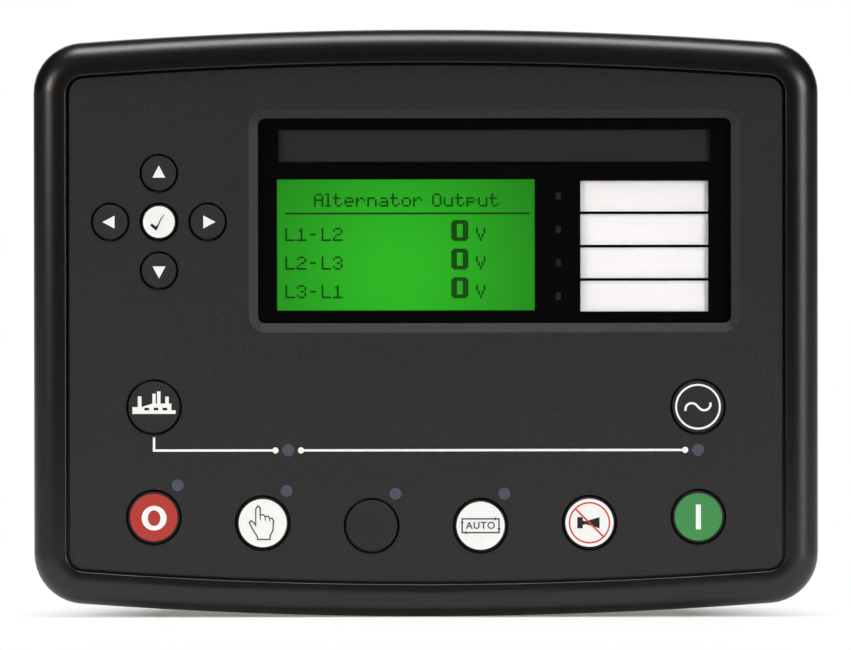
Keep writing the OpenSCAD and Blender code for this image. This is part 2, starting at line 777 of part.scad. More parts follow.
module indicator_leds() {
  color("#e6e3d2") upright()
    for (p = concat(MODE_LAMPS, LINE_LAMPS, GUIDES))
      block(led_w, led_w, board_front, board_front + led_t, p[0], p[1]);
}

// Circuit boards and what they carry

module board(front, back) {
  difference() {
    block(case_w - 2 * (case_wall + board_gap), case_h - 2 * (case_wall + board_gap), back, front);
    for (p = POSTS) rod(post_r + slip_gap, back - 1, front + 1, p);
    children();
  }
}

module display_board() {
  color("#1f5a37") upright() board(board_front, board_back)
    for (p = BOARD_BOSSES) rod(board_screw_r + slip_gap, board_back - 1, board_front + 1, p);
}

module main_board() {
  color("#1f5a37") upright() board(main_front, main_back)
    for (p = SPACERS) rod(spacer_screw_r + slip_gap, main_back - 1, main_front + 1, p);
}

module board_spacers() {
  color("#b9bcc0") upright() for (p = SPACERS) difference() {
    rod(spacer_r, main_front, board_back, p);
    rod(spacer_screw_r + screw_gap, main_front - 1, main_front + spacer_screw_bite + 1, p);
  }
}

// Pin strip that joins the two boards.
module board_link() {
  color("#18181a") upright() block(link_pins * link_pitch, link_d, main_front, board_back, VIEW[0], VIEW[1]);
}

module relays() {
  color("#2b4f8f") upright()
    for (i = [0, 1])
      block(relay_w, relay_d, main_back - relay_h, main_back, RELAY[0] + relay_pitch * i, RELAY[1]);
}

module capacitors() {
  color("#1e2433") upright() for (i = [0:2])
    rod(capacitor_r, main_back - capacitor_h, main_back, CAPACITOR + [capacitor_pitch * i, 0]);
}

module processor() {
  color("#17181a") upright()
    block(processor_w, processor_w, main_back - processor_t, main_back, PROCESSOR[0], PROCESSOR[1]);
}

module battery_holder() {
  color("#141414") upright() difference() {
    rod(battery_r + seat_gap + holder_wall, main_back - holder_floor_t - battery_h, main_back, BATTERY);
    rod(battery_r + seat_gap, main_back - holder_floor_t - battery_h - 1,
      main_back - holder_floor_t, BATTERY);
  }
}

module clock_battery() {
  color("#c9ccd0") upright()
    rod(battery_r, main_back - holder_floor_t - battery_h, main_back - holder_floor_t, BATTERY);
}

module sounder() {
  color("#101011") upright() difference() {
    rod(sounder_r, main_back - sounder_h, main_back, SOUNDER);
    rod(sounder_port_r, main_back - sounder_h - 1, main_back - sounder_h + sounder_port_d, SOUNDER);
  }
}

// Rear case and fixings

// Outline of the raised middle at a level, moved in by an edge. Its flanks lean in towards the back.
function plateau_outline(z, edge = 0) = let (lean = plateau_slope * (ledge_z - z) / (ledge_z - back_z))
  round_rect(case_w - lean - 2 * edge, plateau_h - 2 * lean - 2 * edge, case_r - edge);

// Moulded web that props the flank of the raised middle on its ledge.
module web(w) {
  root = plateau_h / 2 - plateau_slope - case_wall / 2;
  flank = plateau_h / 2 - plateau_slope * web_h / (ledge_z - back_z);
  tip = plateau_h / 2 + web_reach;
  foot_z = ledge_z + case_wall / 2;
  translate([w[0] - web_t / 2, 0, 0]) rotate([90, 0, 90]) linear_extrude(web_t)
    polygon([[w[1] * root, foot_z], [w[1] * tip, foot_z], [w[1] * tip, ledge_z],
      [w[1] * flank, ledge_z - web_h], [w[1] * root, ledge_z - web_h]]);
}

module case_shell() {
  edge_z = back_z + case_edge;
  difference() {
    union() {
      slab(round_rect(case_w, case_h, case_r), ledge_z, gasket_t);
      loft(plateau_outline(edge_z), plateau_outline(ledge_z), edge_z, ledge_z);
      loft(plateau_outline(back_z, case_edge), plateau_outline(edge_z), back_z, edge_z);
      for (w = WEBS) web(w);
    }
    slab(round_rect(back_field_w, back_field_h, case_r), back_z - 1, back_z + back_field_d);
    slab(round_rect(case_w - 2 * case_wall, case_h - 2 * case_wall, case_r - case_wall),
      ledge_floor, gasket_t + 1);
    block(case_w - 2 * case_wall - plateau_slope, plateau_h - 2 * (case_wall + plateau_slope),
      plateau_floor, ledge_floor + 1);
  }
}

// Three slots in the side wall for the prongs of one fixing clip.
module clip_slots(x, y) {
  for (i = [0:2])
    translate([x, y + (i == 1 ? 1 : -1) * clip_slot_h, -clip_first_z - i * clip_step_z])
      cube([4 * case_wall, clip_slot_h, clip_slot_w], center = true);
}

module rear_case() {
  color("#1b1b1c") upright() difference() {
    union() {
      case_shell();
      for (p = POSTS) rod(post_r, ledge_floor - 0.5, fascia_boss_end - 2 * seat_gap, p);
    }
    for (p = POSTS) {
      rod(case_screw_r + slip_gap, ledge_z, gasket_t, p);
      rod(case_screw_head_r + slip_gap, ledge_z - 1, ledge_z + case_screw_head_t + slip_gap, p);
    }
    for (p = PLUGS)
      block(header_length(p) + 2 * slip_gap, header_d + 2 * slip_gap, ledge_z - 1, ledge_floor + 1,
        p[3], p[4] * terminal_row_y);
    for (s = SOCKETS)
      block(s[1] + 2 * slip_gap, s[2] + 2 * slip_gap, ledge_z - 1, ledge_floor + 1, s[0], terminal_row_y);
    for (x = [-1, 1], y = [-1, 1]) clip_slots(x * case_w / 2, y * clip_y);
  }
}

module case_screws() {
  seat = ledge_z + case_screw_head_t + slip_gap;
  shank = fascia_boss_end + case_screw_bite - slip_gap - seat;
  color("#8f9296") upright() for (p = POSTS) translate([p[0], p[1], seat])
    slotted_screw(case_screw_r, shank, case_screw_head_r, case_screw_head_t);
}

module board_screws() {
  shank = board_t + board_screw_bite - slip_gap;
  color("#b3b6ba") upright() for (p = BOARD_BOSSES) translate([p[0], p[1], board_back])
    slotted_screw(board_screw_r, shank, board_screw_head_r, board_screw_head_t);
}

module spacer_screws() {
  color("#b3b6ba") upright() for (p = SPACERS) translate([p[0], p[1], main_back])
    slotted_screw(spacer_screw_r, board_t + spacer_screw_bite, board_screw_head_r, board_screw_head_t);
}

// Terminals and sockets

function plug_length(p) = p[1] * p[2];
function header_length(p) = plug_length(p) + 2 * terminal_end;
function way_x(p, i) = p[3] + (i - (p[1] - 1) / 2) * p[2];

// Open shroud on the main board that a plug slides into.
module terminal_header(p) {
  color("#2c7a3f") upright() difference() {
    block(header_length(p), header_d, header_end, main_back, p[3], p[4] * terminal_row_y);
    block(header_length(p) - 2 * header_wall, header_d - 2 * header_wall, header_end - 1,
      main_back - header_floor_t, p[3], p[4] * terminal_row_y);
  }
}

// Plug with a tongue in the header, a wire entry and a clamp screw hole for each way.
module terminal_plug(p) {
  side = p[4];
  slope_z = clamp_z - clamp_hole_r - 1;
  tongue_gap = 2 * (header_wall + slip_gap);
  color("#2f8a45") upright() translate([0, side * terminal_row_y, 0]) difference() {
    union() {
      translate([p[3] - plug_length(p) / 2, 0, 0]) rotate([90, 0, 90]) linear_extrude(plug_length(p))
        polygon([
          [-side * plug_low, plug_top], [side * plug_high, plug_top],
          [side * plug_high, slope_z], [side * (plug_high - plug_chamfer), back_z + plug_chamfer],
          [side * (plug_high - plug_chamfer), back_z], [side * (plug_chamfer - plug_low), back_z],
          [-side * plug_low, back_z + plug_chamfer],
        ]);
      block(header_length(p) - tongue_gap, header_d - tongue_gap, plug_top - 0.5, tongue_tip, p[3]);
    }
    for (i = [0:p[1] - 1]) {
      block(wire_w, wire_h, back_z - 1, back_z + wire_depth, way_x(p, i), side * wire_rise);
      translate([way_x(p, i), side * (plug_high - clamp_hole_depth), clamp_z])
        rotate([-90 * side, 0, 0]) cylinder(r = clamp_hole_r, h = clamp_hole_depth + 1);
    }
  }
}

module terminal_screws() {
  color("#c3c6ca") upright() for (p = PLUGS, i = [0:p[1] - 1])
    translate([way_x(p, i), p[4] * (terminal_row_y + plug_high - clamp_hole_depth), clamp_z])
      rotate([-90 * p[4], 0, 0]) difference() {
        cylinder(r = clamp_screw_r, h = clamp_screw_t);
        translate([-clamp_screw_r, -screw_slot_w / 2, clamp_screw_t - screw_slot_d])
          cube([2 * clamp_screw_r, screw_slot_w, screw_slot_d + 1]);
      }
}

module usb_socket() {
  color("#c7cacd") upright() {
    difference() {
      block(usb_w, usb_d, socket_end, main_back, usb_x, terminal_row_y);
      block(usb_port_w, usb_port_d, socket_end - 1, socket_end + usb_port_depth, usb_x, terminal_row_y);
    }
    block(usb_tongue_w, usb_tongue_d, socket_end + 1, socket_end + usb_port_depth + 0.5,
      usb_x, terminal_row_y);
  }
}

module ethernet_socket() {
  latch_w = 6;
  latch_d = 1.8;
  color("#c7cacd") upright() difference() {
    block(ethernet_w, ethernet_d, socket_end, main_back, ethernet_x, terminal_row_y);
    block(ethernet_port_w, ethernet_port_d, socket_end - 1, socket_end + ethernet_port_depth,
      ethernet_x, terminal_row_y);
    block(latch_w, latch_d + 1, socket_end - 1, socket_end + ethernet_port_depth, ethernet_x,
      terminal_row_y + (ethernet_port_d + latch_d - 1) / 2);
  }
}

// D-shaped outline with round corners left off: wide at the top, narrower below.
function d_outline(w, d) = let (lean = d * tan(serial_slope))
  [[-w / 2, d / 2], [-w / 2 + lean, -d / 2], [w / 2 - lean, -d / 2], [w / 2, d / 2]];

module serial_socket() {
  plate_z = ledge_z - seat_gap;
  shell_end = plate_z - serial_plate_t - serial_shell_h;
  floor_z = plate_z - serial_plate_t;
  inner_w = serial_shell_w - 2 * serial_shell_t;
  inner_d = serial_shell_d - 2 * serial_shell_t;
  color("#c7cacd") upright() translate([serial_x, terminal_row_y, 0]) {
    block(serial_body_w, serial_body_d, plate_z - 0.5, main_back);
    block(serial_w, serial_plate_d, floor_z, plate_z);
    difference() {
      slab(d_outline(serial_shell_w, serial_shell_d), shell_end, floor_z + 0.5);
      slab(d_outline(inner_w, inner_d), shell_end - 1, floor_z);
    }
    for (i = [-2:2])
      rod(serial_pin_r, shell_end + 1, floor_z + 0.5, [i * serial_pin_pitch, serial_row_d / 2]);
    for (i = [-1.5:1.5])
      rod(serial_pin_r, shell_end + 1, floor_z + 0.5, [i * serial_pin_pitch, -serial_row_d / 2]);
    for (x = [-1, 1]) translate([x * serial_bolt_x, 0, floor_z - serial_bolt_h])
      cylinder(r = serial_bolt_r, h = serial_bolt_h + 0.5, $fn = 6);
  }
}

front_bezel();
panel_gasket();
fascia_panel();
display_window();
window_mask();
display_carrier();
lcd_glass();
lcd_backlight();
lcd_frame();
label_card();
header_card();
alarm_light_guides();
mode_lenses();
line_lenses();
for (k = KEYS) key(k);
keypad_mat();
key_switches();
indicator_leds();
display_board();
main_board();
board_spacers();
board_link();
relays();
capacitors();
processor();
battery_holder();
clock_battery();
sounder();
rear_case();
case_screws();
board_screws();
spacer_screws();
for (p = PLUGS) terminal_header(p);
for (p = PLUGS) terminal_plug(p);
terminal_screws();
usb_socket();
ethernet_socket();
serial_socket();
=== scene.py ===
# %% [markdown]
# Dressing a generating-set controller
# The CAD model of this panel controller holds every piece at its real size. This lesson gives
# those pieces their finish: moulded plastic, a lit display, printed keys, plated terminals.
# We load the imported model first, and keep its box.

# %% Load the frame
import math

import bpy
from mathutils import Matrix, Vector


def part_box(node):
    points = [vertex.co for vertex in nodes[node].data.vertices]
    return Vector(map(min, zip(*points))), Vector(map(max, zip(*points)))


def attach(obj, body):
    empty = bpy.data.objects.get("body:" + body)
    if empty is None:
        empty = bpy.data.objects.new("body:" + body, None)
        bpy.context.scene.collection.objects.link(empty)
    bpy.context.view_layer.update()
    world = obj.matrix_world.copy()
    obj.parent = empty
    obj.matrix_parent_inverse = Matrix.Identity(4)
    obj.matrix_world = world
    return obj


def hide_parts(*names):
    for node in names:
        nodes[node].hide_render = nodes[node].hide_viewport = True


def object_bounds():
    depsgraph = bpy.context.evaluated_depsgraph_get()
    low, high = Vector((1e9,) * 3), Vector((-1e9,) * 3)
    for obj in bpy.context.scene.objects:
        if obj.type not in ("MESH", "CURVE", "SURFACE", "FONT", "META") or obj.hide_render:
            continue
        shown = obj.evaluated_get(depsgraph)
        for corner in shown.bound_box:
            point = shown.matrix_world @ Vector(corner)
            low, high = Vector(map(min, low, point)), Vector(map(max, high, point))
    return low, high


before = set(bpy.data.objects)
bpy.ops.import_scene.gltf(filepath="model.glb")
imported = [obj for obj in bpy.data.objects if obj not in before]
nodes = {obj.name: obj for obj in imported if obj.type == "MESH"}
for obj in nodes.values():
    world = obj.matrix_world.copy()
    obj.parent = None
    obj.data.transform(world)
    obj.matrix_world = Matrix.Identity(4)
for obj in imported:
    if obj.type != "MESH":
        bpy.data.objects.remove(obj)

cad_box = [list(corner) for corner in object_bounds()]
MM = 0.001
print("CAD nodes:", len(nodes), "box in mm:", [[round(v / MM, 1) for v in c] for c in cad_box])

# %% [markdown]
# Small tools for the bench
# Operators act on whatever is selected, and loading leaves every CAD node selected. So each
# step starts by letting go of everything and picking just the piece that it works on.

# %% Selecting pieces
def pick(*objects):
    """Selects only these objects and makes the first one active."""
    bpy.ops.object.select_all(action="DESELECT")
    for obj in objects:
        obj.select_set(True)
    bpy.context.view_layer.objects.active = objects[0]


def settle(piece):
    """Puts the piece's place into its mesh, so that its object sits at the origin."""
    pick(piece)
    bpy.ops.object.transform_apply(location=True, rotation=True, scale=True)


def join_body(piece, finish, body="housing"):
    """Gives a finished piece its material and the body that carries it."""
    piece.data.materials.clear()
    piece.data.materials.append(finish)
    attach(piece, body)


print("Tools ready")

# %% [markdown]
# The camera
# The photograph was taken with a long lens from nearly straight ahead, a touch above the middle,
# so the sides don't show. The frame is about 266 mm wide at the fascia. From 4 m that takes a lens
# of 542 mm on a 36 mm sensor, and a hair of roll matches the way the unit stands.

# %% Camera
PHOTO_W = 851
VIEW_W = 265.6 * MM
CAMERA_DISTANCE = 4
CAMERA_PITCH = math.radians(1.3)
CAMERA_ROLL = math.radians(0.07)
AIM_DROP = 0.5 * MM
fascia_low, fascia_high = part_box("fascia_panel")
face_y = fascia_low.y

bpy.ops.object.camera_add()
camera = bpy.context.object
camera.name = "photo_camera"
camera.data.sensor_width = 36
camera.data.lens = camera.data.sensor_width * CAMERA_DISTANCE / VIEW_W
camera.location = (
    0,
    face_y - CAMERA_DISTANCE * math.cos(CAMERA_PITCH),
    CAMERA_DISTANCE * math.sin(CAMERA_PITCH) - AIM_DROP,
)
camera.rotation_euler = (math.pi / 2 - CAMERA_PITCH, CAMERA_ROLL, 0)
bpy.context.scene.camera = camera
print("Lens in mm:", round(camera.data.lens, 1), "millimetres per pixel:", round(VIEW_W / MM / PHOTO_W, 3))

# %% [markdown]
# Colour and nodes
# Colours are written as the sRGB hex values that one would read off a sample card. Blender works
# in linear light, so one function converts them. A second one adds a shader node with its
# settings and links, which keeps each recipe below short.

# %% Colour and node helpers
def linear(hex_colour):
    """Turns an sRGB hex colour into linear RGBA."""
    channels = [int(hex_colour[i:i + 2], 16) / 255 for i in (1, 3, 5)]
    return [c / 12.92 if c <= 0.04045 else ((c + 0.055) / 1.055) ** 2.4 for c in channels] + [1]


def add_node(tree, kind, settings=None, links=None):
    """Adds a node, sets its sockets or options, and links sockets into it."""
    node = tree.nodes.new(kind)
    for name, value in (settings or {}).items():
        if isinstance(name, int) or name in node.inputs:
            node.inputs[name].default_value = value
        else:
            setattr(node, name, value)
    for name, socket in (links or {}).items():
        tree.links.new(socket, node.inputs[name])
    return node


def new_finish(name, colour, sockets):
    """Starts a material from its base colour and the shader's own constants."""
    material = bpy.data.materials.new(name)
    material.use_nodes = True
    shader = material.node_tree.nodes["Principled BSDF"]
    shader.inputs["Base Color"].default_value = linear(colour)
    for socket, value in sockets.items():
        shader.inputs[socket].default_value = value
    return material, material.node_tree, shader


print("Black, mid grey and white in linear light:",
      [round(linear(c)[0], 3) for c in ("#000000", "#808080", "#ffffff")])

# %% [markdown]
# Moulded plastic
# Nearly every surface here came out of a spark-eroded mould, which leaves a grain of rounded
# pits. A noise pattern gives it three ways at once: a little colour, a little roughness and a
# shallow bump. The grain of a real moulding is about a tenth of a millimetre. That is finer than
# a pixel of this picture, so it is drawn a few times coarser to show at all.

# %% Grain of a moulding
def moulded_grain(tree, shader, light, dark, grain_mm, depth_mm, rough):
    """Adds a spark-eroded grain: colour between two tones, roughness and bump from one noise."""
    place = add_node(tree, "ShaderNodeTexCoord")
    noise = add_node(tree, "ShaderNodeTexNoise",
                     {"Scale": 1 / (grain_mm * MM), "Detail": 2, "Roughness": 0.6},
                     {"Vector": place.outputs["Object"]})
    tone = add_node(tree, "ShaderNodeValToRGB", links={"Fac": noise.outputs["Fac"]})
    tone.color_ramp.elements[0].position = 0.3
    tone.color_ramp.elements[0].color = linear(dark)
    tone.color_ramp.elements[1].position = 0.7
    tone.color_ramp.elements[1].color = linear(light)
    polish = add_node(tree, "ShaderNodeMapRange",
                      {"From Min": 0.3, "From Max": 0.7, "To Min": rough[0], "To Max": rough[1]},
                      {"Value": noise.outputs["Fac"]})
    bump = add_node(tree, "ShaderNodeBump", {"Strength": 0.6, "Distance": depth_mm * MM},
                    {"Height": noise.outputs["Fac"]})
    tree.links.new(tone.outputs["Color"], shader.inputs["Base Color"])
    tree.links.new(polish.outputs["Result"], shader.inputs["Roughness"])
    tree.links.new(bump.outputs["Normal"], shader.inputs["Normal"])


# Satin black ABS of the bezel: dark, with soft broad highlights along the roll.
bezel_abs, tree, shader = new_finish("satin_black_abs", "#0d0d0c", {"IOR": 1.53})
moulded_grain(tree, shader, "#11110f", "#0a0a09", 0.5, 0.035, (0.28, 0.38))
# Textured charcoal ABS of the fascia: a dark satin with a fine grain, lighter where a slope mirrors a lamp.
fascia_abs, tree, shader = new_finish("textured_charcoal_abs", "#222222", {"Specular IOR Level": 0.45})
moulded_grain(tree, shader, "#2a2a2a", "#161616", 0.55, 0.03, (0.52, 0.62))
# Black glass-filled PA66 of the rear housing: a coarser grain, neutral and duller than the bezel.
case_pa66, tree, shader = new_finish("textured_black_pa66", "#1d1d1e", {"IOR": 1.53})
moulded_grain(tree, shader, "#242425", "#181819", 0.9, 0.04, (0.5, 0.62))
# Black ABS of the display carrier, seen only through the window: dull and dark.
carrier_abs, tree, shader = new_finish("dull_black_abs", "#0d0d0d", {"IOR": 1.52})
moulded_grain(tree, shader, "#101010", "#0b0b0b", 0.8, 0.02, (0.6, 0.7))
# Silicone rubber of the gasket and the keypad sheet: dark, soft and dusty, with no sharp highlight.
silicone, tree, shader = new_finish("dark_silicone_rubber", "#2a2b2d", {"IOR": 1.41})
moulded_grain(tree, shader, "#313235", "#242527", 0.8, 0.03, (0.7, 0.82))
# Green PA66 of the plug-in terminals: a bright moulded green with a waxy sheen.
terminal_pa66, tree, shader = new_finish("green_pa66", "#2f8a45", {"IOR": 1.53})
moulded_grain(tree, shader, "#349450", "#2a7f3f", 0.8, 0.02, (0.4, 0.52))
print("Moulded finishes:", [m.name for m in bpy.data.materials if m.users == 0])

# %% [markdown]
# Finishing a moulded piece
# The CAD solids have knife-sharp edges, and their meshes are loose triangles. A real moulding
# has every edge broken a little, which catches the light. We copy the mesh, merge it, dissolve
# the flat triangles into whole faces, run a small Bevel over the sharp edges and smooth by angle.
# The fascia is smoothed by a smaller angle, so that the bevel round its window stays crisp.
# Weighted normals let the large faces rule the shading, so that flat stays flat up to its edge.
# The copy then stands in for the CAD node, which keeps doing its work in the physics, hidden.

# %% Finished copies
MERGE = 0.0005 * MM
FLAT = math.radians(0.2)
SMOOTH_DEG = 32
BEVEL_STAYS_DEG = 25


def finished_copy(node, finish, edge_mm=0, body="housing", sharp_deg=40, smooth_deg=SMOOTH_DEG):
    """Makes the finished piece that stands for a CAD node, with its sharp edges broken."""
    piece = bpy.data.objects.new(node + "_finished", nodes[node].data.copy())
    bpy.context.scene.collection.objects.link(piece)
    pick(piece)
    bpy.ops.mesh.customdata_custom_splitnormals_clear()
    bpy.ops.object.mode_set(mode="EDIT")
    bpy.ops.mesh.select_all(action="SELECT")
    bpy.ops.mesh.remove_doubles(threshold=MERGE)
    bpy.ops.mesh.dissolve_limited(angle_limit=FLAT)
    bpy.ops.object.mode_set(mode="OBJECT")
    if edge_mm:
        bevel = piece.modifiers.new("broken_edges", "BEVEL")
        bevel.width = edge_mm * MM
        bevel.segments = 2
        bevel.limit_method = "ANGLE"
        bevel.angle_limit = math.radians(sharp_deg)
        bpy.ops.object.modifier_apply(modifier=bevel.name)
    bpy.ops.object.shade_smooth_by_angle(angle=math.radians(smooth_deg))
    flat = piece.modifiers.new("flat_faces_stay_flat", "WEIGHTED_NORMAL")
    flat.keep_sharp = True
    bpy.ops.object.modifier_apply(modifier=flat.name)
    join_body(piece, finish, body)
    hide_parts(node)
    return piece


bezel = finished_copy("front_bezel", bezel_abs)
fascia = finished_copy("fascia_panel", fascia_abs, 0.12, smooth_deg=BEVEL_STAYS_DEG)
case = finished_copy("rear_case", case_pa66, 0.25)
gasket = finished_copy("panel_gasket", silicone, 0.15)
print("Faces of the finished mouldings:",
      {p.name: len(p.data.polygons) for p in (bezel, fascia, case, gasket)})

# %% [markdown]
# The clear window
# The window is injection-moulded polycarbonate with a coat against glare, so clear that only its
# polished edge shows. The shader refracts with the index of the coat, which mirrors little. Rays
# towards a lamp pass straight through it, so that the cards behind are lit as they should be. In
# the CAD its back lies exactly on the printed film and its flange on the fascia. Two surfaces in
# one place flicker, so the copy leaves a hair of air on both sides.

# %% Clear window
AIR = 0.02 * MM
FASCIA_T = 2.2 * MM
clear_pc, tree, shader = new_finish("clear_polycarbonate", "#ffffff", {"IOR": 1.32, "Roughness": 0.01})
shader.inputs["Transmission Weight"].default_value = 1
ray = add_node(tree, "ShaderNodeLightPath")
clear = add_node(tree, "ShaderNodeBsdfTransparent")
lit_through = add_node(tree, "ShaderNodeMixShader",
                       links={0: ray.outputs["Is Shadow Ray"], 1: shader.outputs[0], 2: clear.outputs[0]})
tree.links.new(lit_through.outputs[0], tree.nodes["Material Output"].inputs["Surface"])
window = finished_copy("display_window", clear_pc)
window_back = max(v.co.y for v in window.data.vertices)
for vertex in window.data.vertices:
    if vertex.co.y > window_back - AIR:
        vertex.co.y -= AIR
    elif abs(vertex.co.y - fascia_low.y - FASCIA_T) < AIR:
        vertex.co.y += AIR
print("Window faces:", len(window.data.polygons))

# %% [markdown]
# Film, cards and display behind the window
# Behind the window lies a film printed solid black, with openings over the display, the header
# strip and the label fields. The label card is plain white paper board and the header strip a
# dark one. These flat pieces are right as they are in the CAD, so they only get their finish.

# %% Film and cards
def card_stock(name, colour, other, fibre_mm, shine):
    """Paper board: two close tones in a fibrous noise, and a faint tooth."""
    material, tree, shader = new_finish(name, colour, {"Roughness": 0.8, "Specular IOR Level": shine})
    place = add_node(tree, "ShaderNodeTexCoord")
    fibre = add_node(tree, "ShaderNodeTexNoise", {"Scale": 1 / (fibre_mm * MM), "Detail": 4},
                     {"Vector": place.outputs["Object"]})
    tone = add_node(tree, "ShaderNodeMix", {"data_type": "RGBA", 6: linear(colour), 7: linear(other)},
                    {0: fibre.outputs["Fac"]})
    bump = add_node(tree, "ShaderNodeBump", {"Strength": 0.2, "Distance": 0.01 * MM},
                    {"Height": fibre.outputs["Fac"]})
    tree.links.new(tone.outputs[2], shader.inputs["Base Color"])
    tree.links.new(bump.outputs["Normal"], shader.inputs["Normal"])
    return material


# Printed film: solid black ink that lies close against the window, so nearly no light comes back.
film_black = card_stock("black_printed_film", "#030303", "#050505", 1.5, 0.02)
# White insert board: bright, matt, with fibres that hardly show.
board_white = card_stock("white_insert_board", "#fafbfc", "#f1f2f3", 0.8, 0.3)
# Dark header board: a plain grey strip, bare.
board_dark = card_stock("dark_insert_board", "#2a2a2b", "#262627", 0.8, 0.2)


def dress(node, finish):
    """Gives a CAD node, whose shape is right, a better material."""
    nodes[node].material_slots[0].material = finish


dress("window_mask", film_black)
dress("label_card", board_white)
dress("header_card", board_dark)
dress("display_carrier", carrier_abs)
print("Dressed:", film_black.name, board_white.name, board_dark.name)

# %% [markdown]
# The lit display
# The display is a negative of the usual: a bright green backlight with dark dots in front of it.
# The backlight is strongest below the middle and fades towards the upper corners, which a
# spherical gradient gives. It glows, so most of its colour is emission, with little reflection.

# %% Backlit display
view_low, view_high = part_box("lcd_glass")
view_x = (view_low.x + view_high.x) / 2
view_z = (view_low.z + view_high.z) / 2
GLOW_W = 150 * MM
GLOW_RIGHT = -3 * MM
GLOW_DROP = 9 * MM
DULL_FACE = {"Roughness": 0.5, "Specular IOR Level": 0.1}
lcd_green, tree, shader = new_finish("backlit_liquid_crystal", "#0a2408", DULL_FACE)
place = add_node(tree, "ShaderNodeTexCoord")
centred = add_node(tree, "ShaderNodeMapping",
                   {"vector_type": "TEXTURE", "Scale": (GLOW_W / 2, GLOW_W / 2, GLOW_W / 2),
                    "Location": (view_x + GLOW_RIGHT, view_low.y, view_z - GLOW_DROP)},
                   {"Vector": place.outputs["Object"]})
glow = add_node(tree, "ShaderNodeTexGradient", {"gradient_type": "SPHERICAL"},
                {"Vector": centred.outputs["Vector"]})
tone = add_node(tree, "ShaderNodeValToRGB", links={"Fac": glow.outputs["Fac"]})
tone.color_ramp.elements[0].position = 0.34
tone.color_ramp.elements[0].color = linear("#1d8213")
tone.color_ramp.elements[1].position = 0.88
tone.color_ramp.elements[1].color = linear("#28b41e")
tree.links.new(tone.outputs["Color"], shader.inputs["Emission Color"])
shader.inputs["Emission Strength"].default_value = 1
dress("lcd_glass", lcd_green)
print("Display middle in mm:", round(view_x / MM, 2), round(view_z / MM, 2))

# %% [markdown]
# The readout
# A liquid crystal readout is a grid of square dots, here 128 by 64, each a little over half a
# millimetre. We write a title, a rule and three rows of readings into a set of the dots that
# are switched on.

# %% Dot patterns
GLYPHS = {
    "A": ".###./#...#/#...#/#####/#...#/#...#/#...#",
    "O": ".###./#...#/#...#/#...#/#...#/#...#/.###.",
    "L": "#..../#..../#..../#..../#..../#..../#####",
    "a": "...../...../.###./....#/.####/#...#/.####",
    "e": "...../...../.###./#...#/#####/#..../.###.",
    "n": "...../...../####./#...#/#...#/#...#/#...#",
    "o": "...../...../.###./#...#/#...#/#...#/.###.",
    "p": "...../...../####./#...#/####./#..../#....",
    "r": "...../...../#.##./##..#/#..../#..../#....",
    "t": ".#.../.#.../####./.#.../.#.../.#..#/..##.",
    "u": "...../...../#...#/#...#/#...#/#...#/.####",
    "l": "##./.#./.#./.#./.#./.#./###",
    "V": "#...#/#...#/#...#/.#.#./.#.#./..#../..#..",
    "1": "..#../.##../..#../..#../..#../..#../#####",
    "2": ".###./#...#/....#/..##./.#.../#..../#####",
    "3": ".###./#...#/....#/..##./....#/#...#/.###.",
    "-": "....../....../....../.###../....../....../......",
    " ": ".../.../.../.../.../.../...",
    "zero": ".#######./#########/" + "###...###/" * 7 + "#########/.#######.",
}
DOT_COLUMNS = 128
DOT_ROWS = 64
DOT_PITCH = 76.25 / DOT_COLUMNS * MM
lit = set()


def write_dots(glyphs, column, row):
    """Marks the dots of a run of glyphs, from its top left dot, and returns the next column."""
    for glyph in glyphs:
        lines = GLYPHS[glyph].split("/")
        for drop, line in enumerate(lines):
            lit.update((column + i, row + drop) for i, dot in enumerate(line) if dot == "#")
        column += len(lines[0]) + 1
    return column


TITLE_COLUMN = 15
TITLE_ROW = 5
RULE_ROW = 15
READING_ROW = 23
READING_STEP = 15
ZERO_COLUMN = 87
ZERO_RISE = 4
UNIT_COLUMN = 100
title_end = write_dots("Alternator Output", TITLE_COLUMN, TITLE_ROW)
lit.update((column, RULE_ROW) for column in range(DOT_COLUMNS))
for i, pair in enumerate(("L1-L2", "L2-L3", "L3-L1")):
    row = READING_ROW + READING_STEP * i
    write_dots(pair, 0, row)
    write_dots(["zero"], ZERO_COLUMN, row - ZERO_RISE)
    write_dots("V", UNIT_COLUMN, row)
print("Lit dots:", len(lit), "title ends in column", title_end)

# %% [markdown]
# From dots to a layer
# One grid primitive has a face for each dot. The faces that are off are deleted, and the rest
# are inset, so that each dot keeps its thin light border. Solidify makes them a closed layer.

# %% Dots on the display
DOT_GAP = 0.006 * MM
DOT_LAYER = 0.05 * MM
DOT_SHIFT = 0.45 * MM
bpy.ops.object.select_all(action="DESELECT")
bpy.ops.mesh.primitive_grid_add(x_subdivisions=DOT_COLUMNS, y_subdivisions=DOT_ROWS, size=1)
readout = bpy.context.object
readout.name = "display_readout"
readout.scale = (DOT_COLUMNS * DOT_PITCH, DOT_ROWS * DOT_PITCH, 1)
settle(readout)
bpy.ops.object.mode_set(mode="EDIT")
bpy.ops.mesh.select_mode(type="FACE")
bpy.ops.mesh.select_all(action="DESELECT")
bpy.ops.object.mode_set(mode="OBJECT")
for face in readout.data.polygons:
    column = math.floor(face.center.x / DOT_PITCH + DOT_COLUMNS / 2)
    row = math.floor(DOT_ROWS / 2 - face.center.y / DOT_PITCH)
    face.select = (column, row) not in lit
bpy.ops.object.mode_set(mode="EDIT")
bpy.ops.mesh.delete(type="FACE")
bpy.ops.mesh.select_all(action="SELECT")
bpy.ops.mesh.inset(thickness=DOT_GAP, use_individual=True)
bpy.ops.mesh.select_all(action="INVERT")
bpy.ops.mesh.delete(type="FACE")
bpy.ops.object.mode_set(mode="OBJECT")
layer = readout.modifiers.new("layer", "SOLIDIFY")
layer.thickness = DOT_LAYER
layer.offset = 1
